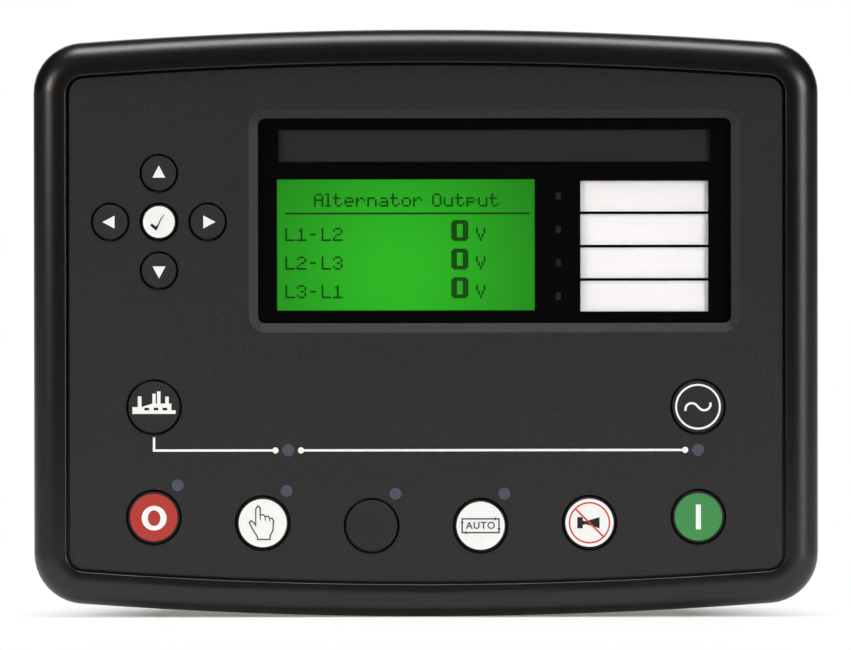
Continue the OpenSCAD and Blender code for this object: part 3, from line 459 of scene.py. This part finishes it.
bpy.ops.object.modifier_apply(modifier=layer.name)
readout.rotation_euler = (math.pi / 2, 0, 0)
readout.location = (view_x + DOT_SHIFT, view_low.y - AIR, view_z)
settle(readout)
# Switched-on crystal: it holds most of the backlight back, so a deep green is left.
SPECK = 4 * MM
crystal_on, tree, shader = new_finish("switched_crystal", "#061a05", DULL_FACE)
shader.inputs["Emission Strength"].default_value = 1
place = add_node(tree, "ShaderNodeTexCoord")
speck = add_node(tree, "ShaderNodeTexNoise", {"Scale": 1 / SPECK}, {"Vector": place.outputs["Object"]})
deep = add_node(tree, "ShaderNodeMix", {"data_type": "RGBA", 6: linear("#0a3407"), 7: linear("#0d3f09")},
                {0: speck.outputs["Fac"]})
tree.links.new(deep.outputs[2], shader.inputs["Emission Color"])
join_body(readout, crystal_on)
print("Readout faces:", len(readout.data.polygons))

# %% [markdown]
# Keys
# Each key is a soft-touch cap that looks out of a round hole. The dark ones have the fascia's own
# charcoal. The coloured ones get black caps with an ink disc on top, whose black edge round the
# colour is painted shade for the cap's rounded shoulder. The caps keep their CAD shape, with its rounded
# edge.

# %% Key caps
# Soft-touch charcoal: the fascia's tone, duller, with a very fine grain.
cap_charcoal, tree, shader = new_finish("soft_touch_charcoal", "#333333", {"Specular IOR Level": 0.15})
moulded_grain(tree, shader, "#363636", "#292929", 0.55, 0.01, (0.68, 0.78))
# Soft-touch black of the coloured keys: its edge round the printed colour is painted shade for the rounded
# shoulder.
painted_shade_cap, tree, shader = new_finish("painted_shade_black_cap", "#101010", {"IOR": 1.46})
moulded_grain(tree, shader, "#131313", "#0d0d0d", 0.6, 0.01, (0.5, 0.6))
DARK_KEYS = ["key_up", "key_down", "key_left", "key_right", "key_load", "key_source", "key_spare"]
PRINTED_KEYS = ["key_accept", "key_stop", "key_manual", "key_auto", "key_mute", "key_start"]
for key in DARK_KEYS:
    dress(key, cap_charcoal)
for key in PRINTED_KEYS:
    dress(key, painted_shade_cap)


def key_middle(key):
    """The middle of a key's top face, in metres."""
    low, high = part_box(key)
    return ((low.x + high.x) / 2, low.y, (low.z + high.z) / 2)


print("Key tops in mm:", {k: [round(v / MM, 2) for v in key_middle(k)] for k in ("key_accept", "key_stop")})

# %% [markdown]
# Ink
# Legends are screen-printed: a film of ink a few hundredths of a millimetre thick with crisp
# edges. A flat curve with closed outlines fills itself, and outlines inside others become holes,
# which suits letters and rings. It is made a mesh, stood up and set on the face it is printed on.

# %% Printing
INK_T = 0.03 * MM
MOTTLE = 0.9 * MM


def ink_finish(name, colour, other):
    """Screen ink: even, slightly satin, with the faint mottle of a printed film."""
    material, tree, shader = new_finish(name, colour, {"Roughness": 0.45})
    place = add_node(tree, "ShaderNodeTexCoord")
    mottle = add_node(tree, "ShaderNodeTexNoise", {"Scale": 1 / MOTTLE, "Detail": 3},
                      {"Vector": place.outputs["Object"]})
    tone = add_node(tree, "ShaderNodeMix", {"data_type": "RGBA", 6: linear(colour), 7: linear(other)},
                    {0: mottle.outputs["Fac"]})
    tree.links.new(tone.outputs[2], shader.inputs["Base Color"])
    return material


white_ink = ink_finish("white_screen_ink", "#ffffff", "#f7f7f7")
red_ink = ink_finish("red_screen_ink", "#bb3931", "#b5362e")
green_ink = ink_finish("green_screen_ink", "#439751", "#3e8f4b")
black_ink = ink_finish("black_screen_ink", "#141414", "#181818")
grey_ink = ink_finish("slate_line_ink", "#32323f", "#3b3b48")
line_red = ink_finish("bright_red_line_ink", "#dd3c36", "#d63832")


def settle_print(piece, at, layer):
    """Stands a flat print up on a face, on top of the layers printed before it."""
    pick(piece)
    bpy.ops.object.convert(target="MESH")
    bpy.ops.object.mode_set(mode="EDIT")
    bpy.ops.mesh.select_all(action="SELECT")
    bpy.ops.mesh.remove_doubles(threshold=MERGE)
    bpy.ops.mesh.normals_make_consistent(inside=False)
    bpy.ops.object.mode_set(mode="OBJECT")
    piece.rotation_euler = (math.pi / 2, 0, 0)
    piece.location = (at[0], at[1] - INK_T * (layer + 0.5), at[2])
    settle(piece)


def print_ink(name, outlines, at, finish, body, layer=0):
    """Prints closed outlines, in mm from their middle, on the face at a place."""
    curve = bpy.data.curves.new(name, "CURVE")
    curve.dimensions = "2D"
    curve.fill_mode = "BOTH"
    curve.extrude = INK_T / 2
    for outline in outlines:
        spline = curve.splines.new("POLY")
        spline.points.add(len(outline) - 1)
        spline.use_cyclic_u = True
        for point, (x, y) in zip(spline.points, outline):
            point.co = (x * MM, y * MM, 0, 1)
    piece = bpy.data.objects.new(name, curve)
    bpy.context.scene.collection.objects.link(piece)
    settle_print(piece, at, layer)
    join_body(piece, finish, body)
    return piece


print("Inks:", [m.name for m in (white_ink, red_ink, green_ink, black_ink, grey_ink, line_red)])

# %% [markdown]
# Outlines
# Signs are drawn from a few shapes: ovals, rings, rectangles and lines of even width. A line has
# a left and a right edge, each mitred at its corners. Outlines are in millimetres.

# %% Outlines to print
MITRE_LIMIT = 0.4


def oval(rx, ry=None, middle=(0, 0), steps=64):
    """A round outline."""
    ry = ry or rx
    turn = 2 * math.pi / steps
    return [(middle[0] + rx * math.cos(i * turn), middle[1] + ry * math.sin(i * turn)) for i in range(steps)]


def ring(radius, width):
    """The two outlines of a ring about its mean radius."""
    return [oval(radius + width / 2), oval(radius - width / 2)]


def box_outline(left, right, low, high):
    """A straight rectangle."""
    return [(left, low), (right, low), (right, high), (left, high)]


def side_of(points, i, half, closed):
    """A corner of a line's edge, half a width to its left, mitred between its two neighbours."""
    last = len(points) - 1
    before = points[i - 1] if i or closed else points[0]
    after = points[(i + 1) % len(points)] if i < last or closed else points[last]
    here = points[i]
    a = math.atan2(here[1] - before[1], here[0] - before[0]) if here != before else None
    b = math.atan2(after[1] - here[1], after[0] - here[0]) if after != here else a
    a = b if a is None else a
    turn = math.atan2(math.sin(b - a), math.cos(b - a)) / 2
    reach = half / max(math.cos(turn), MITRE_LIMIT)
    return (here[0] - reach * math.sin(a + turn), here[1] + reach * math.cos(a + turn))


def line_outlines(points, width, closed=False):
    """The outlines of a line of even width along some points."""
    left = [side_of(points, i, width / 2, closed) for i in range(len(points))]
    right = [side_of(points, i, -width / 2, closed) for i in range(len(points))]
    return [left, right] if closed else [left + right[::-1]]


def turned(outline, quarters, at=(0, 0)):
    """An outline after some quarter turns, moved to a place."""
    cos = math.cos(math.pi / 2 * quarters)
    sin = math.sin(math.pi / 2 * quarters)
    return [(at[0] + x * cos - y * sin, at[1] + x * sin + y * cos) for x, y in outline]


print("A square ring has", [len(o) for o in line_outlines(box_outline(-1, 1, -1, 1), 0.2, True)], "corners")

# %% [markdown]
# Discs on the keys
# The coloured keys get their discs first, a little smaller than the cap, so that a black edge
# of painted shade, for the cap's rounded shoulder, stays round the colour.

# %% Discs
# The discs stop short of the cap's edge, so that its black rim paints the shoulder's shade.
DISC_R = 7.5
COLOUR_DISC_R = 7.4
ACCEPT_DISC_R = 4.95
DISCS = {
    "key_accept": (ACCEPT_DISC_R, white_ink, "key_white"),
    "key_stop": (COLOUR_DISC_R, red_ink, "key_red"),
    "key_manual": (DISC_R, white_ink, "key_white"),
    "key_auto": (DISC_R, white_ink, "key_white"),
    "key_mute": (DISC_R, white_ink, "key_white"),
    "key_start": (COLOUR_DISC_R, green_ink, "key_green"),
}
for key, (radius, finish, slot) in DISCS.items():
    print_ink(key + "_disc", [oval(radius, steps=96)], key_middle(key), finish, key)
print("Discs:", len(DISCS))

# %% [markdown]
# Plain signs
# Such panels share their signs: a ring for stop, a bar for start, arrows to move and a tick to
# accept. The four arrows are one outline in four quarter turns.

# %% Plain signs
O_AT = (0.1, -0.2)
O_OUTLINES = [oval(3.9, 3.85, O_AT), oval(1.95, 2.45, O_AT)]
I_OUTLINE = box_outline(-0.8, 0.8, -3.9, 3.9)
print_ink("stop_sign", O_OUTLINES, key_middle("key_stop"), white_ink, "key_stop", 1)
print_ink("start_sign", [I_OUTLINE], key_middle("key_start"), white_ink, "key_start", 1)
ARROW = [(-2.02, -1.36), (2.02, -1.36), (0, 2.45)]
for key, quarter in (("key_up", 0), ("key_left", 1), ("key_down", 2), ("key_right", 3)):
    arrow = turned(ARROW, quarter)
    print_ink(key + "_arrow", [arrow], key_middle(key), white_ink, key)
TICK = [(-2.75, -1.1), (-2.2, -0.45), (-1.05, -1.35), (-0.5, -1.05), (0.4, 0.85), (1.6, 2.45), (1.78, 2.33),
        (0.7, 0.7), (-0.05, -1.05), (-0.7, -2.6), (-1.15, -2.45)]
print_ink("accept_tick", [TICK], key_middle("key_accept"), black_ink, "key_accept", 1)
print("Arrows, tick, stop and start printed")

# %% [markdown]
# Source and load
# The running supply has a wave in a ring. Half of the wave is a bow, and the other half is the
# same bow turned about the middle. The load has a small works building with three panes.

# %% Source and load signs
RING_R = 6.83
RING_LINE = 0.62
WAVE_LINE = 0.7
BOW_R = 1.97
BOW_H = 1.85
BOW_X = 1.93
BOW_Y = 0.75
BOW_STEPS = 12
WAVE_END = 1.3
BOW_TURN = math.radians(145)
bow = [BOW_TURN * i / BOW_STEPS for i in range(BOW_STEPS + 1)]
left_bow = [(-BOW_X - BOW_R * math.cos(t), -BOW_Y + BOW_H * math.sin(t)) for t in bow]
wave = [(-BOW_X - BOW_R, -WAVE_END)] + left_bow
wave += [(-x, -y) for x, y in reversed(wave)]
source_at = key_middle("key_source")
print_ink("source_ring", ring(RING_R, RING_LINE), source_at, white_ink, "key_source")
print_ink("source_wave", line_outlines(wave, WAVE_LINE), source_at, white_ink, "key_source")
WORKS = [(-6.73, -2.04), (6.75, -2.04), (6.75, -0.94), (5.45, -0.94), (5.45, 1.18), (4.63, 1.18),
         (4.63, 3.35), (3.53, 3.35), (3.53, 1.18), (2.05, 1.18), (2.05, 4.98), (0.95, 4.98),
         (0.95, 1.18), (0.54, 1.18), (0.54, 4.29), (-0.48, 4.29), (-0.48, 1.18), (-3.87, 0.1),
         (-3.87, 3.43), (-5.05, 3.43), (-5.05, 0.1), (-6.73, 0.1)]
panes = [box_outline(x - 0.72, x + 0.72, -0.94, -0.12) for x in (-2.25, 0.65, 3.42)]
print_ink("load_works", [WORKS] + panes, key_middle("key_load"), white_ink, "key_load")
print("Source and load signs printed")

# %% [markdown]
# Hand and horn
# Manual mode has a pointing hand, drawn as a line with three short strokes for the fingers. The
# mute key has a horn, with a red ring and a red bar across it.

# %% Hand and horn
HAND_LINE = 0.4
KNUCKLE_LINE = 0.3
MUTE_R = 6.24
MUTE_LINE = 0.48
BAR_LINE = 0.5
HAND = [(-2.15, 4.55), (-1.5, 5.35), (-0.8, 4.75), (-0.75, 2.45), (0.15, 2.65), (0.8, 2.05), (1.7, 2.15),
        (2.15, 1.55), (2.9, 1.5), (3.35, 0.75), (3.2, -2.2), (2.35, -3.9), (2.25, -5.1), (-1.6, -5.1),
        (-1.7, -4.2), (-3.2, -1.9), (-4.2, 0.15), (-3.6, 0.75), (-2.85, 0.25), (-2.2, -0.7)]
KNUCKLES = [[(-0.75, 2.45), (-0.75, 0.9)], [(0.8, 2.05), (0.8, 0.75)], [(2.15, 1.55), (2.15, 0.5)]]
manual_at = key_middle("key_manual")
hand_lines = line_outlines(HAND, HAND_LINE, True)
print_ink("manual_hand", hand_lines, manual_at, grey_ink, "key_manual", 1)
knuckle_lines = [outline for knuckle in KNUCKLES for outline in line_outlines(knuckle, KNUCKLE_LINE)]
print_ink("manual_knuckles", knuckle_lines, manual_at, grey_ink, "key_manual", 1)
HORN = [(-3.8, -1.75), (-2.1, -1.75), (-2.1, -0.7), (-1.2, -0.45), (3.15, -1.75), (3.15, 1.75), (-1.2, 0.45),
        (-2.1, 0.7), (-2.1, 1.75), (-3.8, 1.75)]
print_ink("mute_horn", [HORN], key_middle("key_mute"), black_ink, "key_mute", 1)
print_ink("mute_ring", ring(MUTE_R, MUTE_LINE), key_middle("key_mute"), line_red, "key_mute", 1)
BAR = line_outlines([(-4.25, 4.25), (4.35, -4.35)], BAR_LINE)
print_ink("mute_bar", BAR, key_middle("key_mute"), line_red, "key_mute", 2)
print("Hand and horn printed")

# %% [markdown]
# Automatic mode
# The automatic key has its word in a frame, with an arrowhead at each corner that runs round it.
# The word is a text object, made a mesh and set on the key as the other prints are.

# %% Automatic sign
FRAME_X = 5.75
FRAME_Y = 2.15
FRAME_LINE = 0.42
TIP_INSET = 0.35
WORD_SIZE = 3.05 * MM
WORD_SPACING = 1.12
WORD_SWELL = 0.05 * MM
auto_at = key_middle("key_auto")
frame_lines = line_outlines(box_outline(-FRAME_X, FRAME_X, -FRAME_Y, FRAME_Y), FRAME_LINE, True)
print_ink("auto_frame", frame_lines, auto_at, grey_ink, "key_auto", 1)
HEAD = [(0, 0), (-1.0, 0.5), (-1.0, -0.5)]
TIPS = [(FRAME_X - TIP_INSET, FRAME_Y), (-FRAME_X, FRAME_Y - TIP_INSET),
        (-FRAME_X + TIP_INSET, -FRAME_Y), (FRAME_X, -FRAME_Y + TIP_INSET)]
arrowheads = [turned(HEAD, quarter, tip) for quarter, tip in enumerate(TIPS)]
print_ink("auto_arrowheads", arrowheads, auto_at, grey_ink, "key_auto", 2)
bpy.ops.object.select_all(action="DESELECT")
bpy.ops.object.text_add()
auto_word = bpy.context.object
auto_word.name = "auto_word"
auto_word.data.body = "AUTO"
auto_word.data.size = WORD_SIZE
auto_word.data.space_character = WORD_SPACING
auto_word.data.align_x = "CENTER"
auto_word.data.align_y = "CENTER"
auto_word.data.extrude = INK_T / 2
auto_word.data.offset = WORD_SWELL
settle_print(auto_word, auto_at, 1)
join_body(auto_word, grey_ink, "key_auto")
print("Word in mm:", [round(v / MM, 2) for v in auto_word.dimensions])

# %% [markdown]
# The supply line
# A white line on the fascia joins the load to the running supply, with a round end on each side
# of the indicator lenses. It is one ink on one face, so it is printed as the keys are.

# %% Supply line
LINE_W = 0.75
DOT_R = 0.97
load_x = key_middle("key_load")[0] / MM
lens_low, lens_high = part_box("line_lenses")
line_z = (lens_low.z + lens_high.z) / 2 / MM
LINE_TOP = -35.5
LEFT_DOTS = (-47.0, -39.0)
RIGHT_DOT = 80.9
face_at = (0, face_y, 0)
corner = [(load_x, LINE_TOP), (load_x, line_z), (LEFT_DOTS[0], line_z)]
print_ink("load_line", line_outlines(corner, LINE_W), face_at, white_ink, "housing")
print_ink("source_line", line_outlines([(LEFT_DOTS[1], line_z), (RIGHT_DOT, line_z)], LINE_W), face_at,
          white_ink, "housing")
line_ends = [oval(DOT_R, middle=(x, line_z), steps=32) for x in (*LEFT_DOTS, RIGHT_DOT)]
print_ink("line_ends", line_ends, face_at, white_ink, "housing", 1)
print("Line height in mm:", round(line_z, 2))

# %% [markdown]
# Indicator lenses
# The lamps are off in the photograph. Their lenses are grey-tinted acrylic light pipes, set flush
# in the fascia, so they read as flat slate-blue dots with a polished face.

# %% Lenses
# Slate acrylic: milky rather than clear, so the colour is nearly even, under a polished face.
slate_acrylic, tree, shader = new_finish("slate_acrylic", "#565a64", {"IOR": 1.49})
moulded_grain(tree, shader, "#4e525f", "#4a4e5c", 4, 0.0005, (0.4, 0.46))
for node in ("mode_lenses", "line_lenses", "alarm_light_guides"):
    finished_copy(node, slate_acrylic, 0.12)
print("Lens radius in mm:", round((lens_high.z - lens_low.z) / 2 / MM, 2))

# %% [markdown]
# Alarm marks
# Four dim marks stand between the display and the label fields, where the film is printed thin
# enough for an alarm lamp to shine through. Unlit, they are barely lighter than the film.

# %% Alarm marks
# Thin-printed film: near black, a shade lighter than the solid print.
thin_film = ink_finish("thin_printed_film", "#0a0b0c", "#0d0e0f")
guide_low, guide_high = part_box("alarm_light_guides")
mask_low, mask_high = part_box("window_mask")
guide_x = (guide_low.x + guide_high.x) / 2 / MM
MARK_COUNT = 4
MARK_W = 1.6
MARK_H = 2.2
GUIDE_H = 4.5 * MM
guide_step = (guide_high.z - guide_low.z - GUIDE_H) / (MARK_COUNT - 1)
marks = []
for i in range(MARK_COUNT):
    z = (guide_low.z + GUIDE_H / 2 + guide_step * i) / MM
    marks.append(box_outline(guide_x - MARK_W / 2, guide_x + MARK_W / 2, z - MARK_H / 2, z + MARK_H / 2))
film_at = (0, mask_low.y + INK_T - AIR / 2, 0)
print_ink("alarm_marks", marks, film_at, thin_film, "housing")
print("Alarm marks:", len(marks))

# %% [markdown]
# Terminals, sockets and screws at the back
# The back carries plug-in terminals and data sockets. Plugs and headers are green nylon with
# broken edges. Screws and socket shells are nickel-plated, which is bright but never a mirror:
# a stretched noise gives the plating its fine drawing lines.

# %% Plated metal
# Bright nickel over steel: pale and warm, slightly streaked from drawing and stamping.
DRAWN_W = 0.25 * MM
DRAWN_L = 4 * MM
nickel, tree, shader = new_finish("nickel_plated_steel", "#b9b8b2", {"Metallic": 1})
place = add_node(tree, "ShaderNodeTexCoord")
stretch = add_node(tree, "ShaderNodeMapping", {"Scale": (1 / DRAWN_W, 1 / DRAWN_L, 1 / DRAWN_W)},
                   {"Vector": place.outputs["Object"]})
streak = add_node(tree, "ShaderNodeTexNoise", {"Scale": 1, "Detail": 2},
                  {"Vector": stretch.outputs["Vector"]})
tone = add_node(tree, "ShaderNodeMix", {"data_type": "RGBA", 6: linear("#c6c5bf"), 7: linear("#a9a8a2")},
                {0: streak.outputs["Fac"]})
polish = add_node(tree, "ShaderNodeMapRange", {"To Min": 0.2, "To Max": 0.38},
                  {"Value": streak.outputs["Fac"]})
tree.links.new(tone.outputs[2], shader.inputs["Base Color"])
tree.links.new(polish.outputs["Result"], shader.inputs["Roughness"])

plug_nodes = [n for n in nodes if n.startswith("plug_")]
header_nodes = [n for n in nodes if n.startswith("header_") and n != "header_card"]
for node in plug_nodes + header_nodes:
    finished_copy(node, terminal_pa66, 0.15)
for node in ("usb_socket", "ethernet_socket", "serial_socket"):
    finished_copy(node, nickel, 0.1)
for node in ("case_screws", "terminal_screws", "board_screws", "spacer_screws", "board_spacers", "lcd_frame"):
    dress(node, nickel)
print("Plugs and headers:", len(plug_nodes), len(header_nodes))

# %% [markdown]
# Inside the housing
# The boards and their parts can't be seen from outside, but the model may be opened or cut. Each
# gets a plain, true finish: green solder mask, black moulded parts, sleeved capacitors.

# %% Inner pieces
# Green solder mask: glossy lacquer over copper, so lighter traces show through in a fine grid.
solder_mask, tree, shader = new_finish("green_solder_mask", "#1f5a37", {"Roughness": 0.3})
place = add_node(tree, "ShaderNodeTexCoord")
trace = add_node(tree, "ShaderNodeTexBrick",
                 {"Color1": linear("#1c5433"), "Color2": linear("#236540"), "Mortar": linear("#184a2c"),
                  "Scale": 1 / (5 * MM), "Mortar Size": 0.04},
                 {"Vector": place.outputs["Object"]})
tree.links.new(trace.outputs["Color"], shader.inputs["Base Color"])
# Black epoxy and PBT of components: matt, with a fine moulded grain.
component_black, tree, shader = new_finish("black_component_epoxy", "#19191b", {"IOR": 1.55})
moulded_grain(tree, shader, "#1e1e20", "#151517", 0.5, 0.01, (0.5, 0.6))
# Blue PBT of the relays.
relay_blue, tree, shader = new_finish("blue_relay_pbt", "#2b4f8f", {"IOR": 1.55})
moulded_grain(tree, shader, "#2f5598", "#274884", 0.7, 0.01, (0.4, 0.5))
# Shrunk PVC sleeve of the capacitors: dark navy, glossy.
sleeve, tree, shader = new_finish("navy_shrink_sleeve", "#1e2433", {"IOR": 1.53})
moulded_grain(tree, shader, "#212839", "#1b202d", 2, 0.01, (0.22, 0.3))
# Milky acrylic of the backlight.
milky, tree, shader = new_finish("milky_acrylic", "#e8efe2", {"IOR": 1.49})
moulded_grain(tree, shader, "#ebf2e6", "#e3eadc", 2, 0.005, (0.3, 0.4))
# Clear epoxy of the lamps.
lamp_epoxy, tree, shader = new_finish("pale_lamp_epoxy", "#e6e3d2", {"IOR": 1.5})
moulded_grain(tree, shader, "#ebe8d8", "#dfdcca", 1, 0.005, (0.2, 0.3))
INNER = {
    "display_board": solder_mask, "main_board": solder_mask, "board_link": component_black,
    "processor": component_black, "sounder": component_black, "battery_holder": component_black,
    "key_switches": component_black, "relays": relay_blue, "capacitors": sleeve, "clock_battery": nickel,
    "lcd_backlight": milky, "indicator_leds": lamp_epoxy, "keypad_mat": silicone,
}
for node, finish in INNER.items():
    dress(node, finish)
print("Inner pieces dressed:", len(INNER))

# %% [markdown]
# Floor
# The unit stands on a plain sheet of pale paper. The floor keeps the soft shadow close to the
# unit. For the camera, and for what shiny faces and glass show, it passes into the white of the
# background with growing distance. A small lift, for the camera alone, keeps the shadow pale. It
# ends a little in front of the unit, because the bezel would mirror more of it.

# %% Floor
FLOOR_W = 3
FLOOR_FRONT = -0.3
FLOOR_BACK = 1.5
SHADOW_FULL = 0.085
SHADOW_END = 0.13
FLOOR_LIFT = 0.16
bpy.ops.object.select_all(action="DESELECT")
floor_at = (0, (FLOOR_FRONT + FLOOR_BACK) / 2, cad_box[0][2])
bpy.ops.mesh.primitive_plane_add(size=1, location=floor_at)
floor = bpy.context.object
floor.scale = (FLOOR_W, FLOOR_BACK - FLOOR_FRONT, 1)
floor.name = "studio_floor"
settle(floor)
sweep, tree, shader = new_finish("white_paper_sweep", "#e9e7e4", {"Roughness": 0.9})
ray = add_node(tree, "ShaderNodeLightPath")
place = add_node(tree, "ShaderNodeTexCoord")
near = add_node(tree, "ShaderNodeMapping",
                {"vector_type": "TEXTURE", "Location": (0, 0, cad_box[0][2]), "Scale": (SHADOW_END,) * 3},
                {"Vector": place.outputs["Object"]})
close = add_node(tree, "ShaderNodeTexGradient", {"gradient_type": "SPHERICAL"},
                 {"Vector": near.outputs["Vector"]})
white_share = add_node(tree, "ShaderNodeMapRange",
                       {"From Max": 1 - SHADOW_FULL / SHADOW_END, "To Min": 1, "To Max": 0},
                       {"Value": close.outputs["Fac"]})
mirrored = add_node(tree, "ShaderNodeMath", {"operation": "MAXIMUM"},
                    {0: ray.outputs["Is Glossy Ray"], 1: ray.outputs["Is Transmission Ray"]})
seen = add_node(tree, "ShaderNodeMath", {"operation": "MAXIMUM"},
                {0: ray.outputs["Is Camera Ray"], 1: mirrored.outputs[0]})
share = add_node(tree, "ShaderNodeMath", {"operation": "MULTIPLY"},
                 {0: seen.outputs[0], 1: white_share.outputs["Result"]})
lift = add_node(tree, "ShaderNodeMath", {"operation": "MULTIPLY", 1: FLOOR_LIFT},
                {0: ray.outputs["Is Camera Ray"]})
shader.inputs["Emission Color"].default_value = linear("#ffffff")
tree.links.new(lift.outputs[0], shader.inputs["Emission Strength"])
white = add_node(tree, "ShaderNodeEmission", {"Strength": 1})
blend = add_node(tree, "ShaderNodeMixShader",
                 links={0: share.outputs[0], 1: shader.outputs[0], 2: white.outputs[0]})
tree.links.new(blend.outputs[0], tree.nodes["Material Output"].inputs["Surface"])
floor.data.materials.append(sweep)
print("Floor height in mm:", round(cad_box[0][2] / MM, 2))

# %% [markdown]
# Background
# The camera sees a white world. Shiny faces and glass see a white backdrop too, but only in the
# directions behind the unit. In front of it they see a dim room, as round a studio table, and the
# window stays black. All other rays get a soft, even light.

# %% World
AMBIENT = 0.17
MIRRORED = 0.02
BACKDROP_EDGE = (0.75, 0.95)
world = bpy.data.worlds.new("studio")
bpy.context.scene.world = world
world.use_nodes = True
tree = world.node_tree
sky = tree.nodes["Background"]
sky.inputs["Color"].default_value = linear("#ffffff")
ray = add_node(tree, "ShaderNodeLightPath")
place = add_node(tree, "ShaderNodeTexCoord")
split = add_node(tree, "ShaderNodeSeparateXYZ", links={"Vector": place.outputs["Generated"]})
backdrop = add_node(tree, "ShaderNodeMapRange",
                    {"From Min": BACKDROP_EDGE[0], "From Max": BACKDROP_EDGE[1],
                     "To Min": MIRRORED, "To Max": 1},
                    {"Value": split.outputs["Y"]})
mirrored = add_node(tree, "ShaderNodeMath", {"operation": "MAXIMUM"},
                    {0: ray.outputs["Is Glossy Ray"], 1: ray.outputs["Is Transmission Ray"]})
soft = add_node(tree, "ShaderNodeMix", {"data_type": "FLOAT", 2: AMBIENT},
                {0: mirrored.outputs[0], 3: backdrop.outputs["Result"]})
level = add_node(tree, "ShaderNodeMix", {"data_type": "FLOAT", 3: 1.0},
                 {0: ray.outputs["Is Camera Ray"], 2: soft.outputs[0]})
tree.links.new(level.outputs[0], sky.inputs["Strength"])
print("World:", world.name)

# %% [markdown]
# Studio light
# The highlights on the bezel say where the lamps were. The bright band on the top roll comes from
# a softbox overhead, and the one down the right side from a panel well to the camera's right. The
# band on the left fades downwards, so its lamp is small and close by. A panel behind the unit
# lights its back for the other views.

# %% Lamps
def softbox(name, place, aim, size, watts, colour="#ffffff"):
    """Adds a rectangular area lamp that faces a point."""
    bpy.ops.object.light_add(type="AREA", location=place)
    lamp = bpy.context.object
    lamp.name = name
    lamp.data.shape = "RECTANGLE"
    lamp.data.size = size[0]
    lamp.data.size_y = size[1]
    lamp.data.energy = watts
    lamp.data.color = linear(colour)[:3]
    lamp.rotation_euler = (aim - lamp.location).to_track_quat("-Z", "Y").to_euler()
    # Its light already passes the window by shadow rays, so refracted rays must not count it again.
    lamp.visible_transmission = False
    return lamp


middle = (fascia_low + fascia_high) / 2
softbox("overhead_softbox", (0, -0.2, 1.25), middle, (0.95, 0.48), 16.0, "#f3f9f8")
softbox("right_strip", (1.15, -1.03, 0.28), middle, (0.5, 0.46), 10.0, "#fffaf8")
softbox("left_panel", (-0.5, -0.38, 0.17), middle, (0.12, 0.12), 1.05, "#fff4ee")
softbox("rear_panel", (0, 1.5, 0.5), middle, (1.2, 0.8), 2.5)
bpy.context.scene.view_settings.view_transform = "Standard"
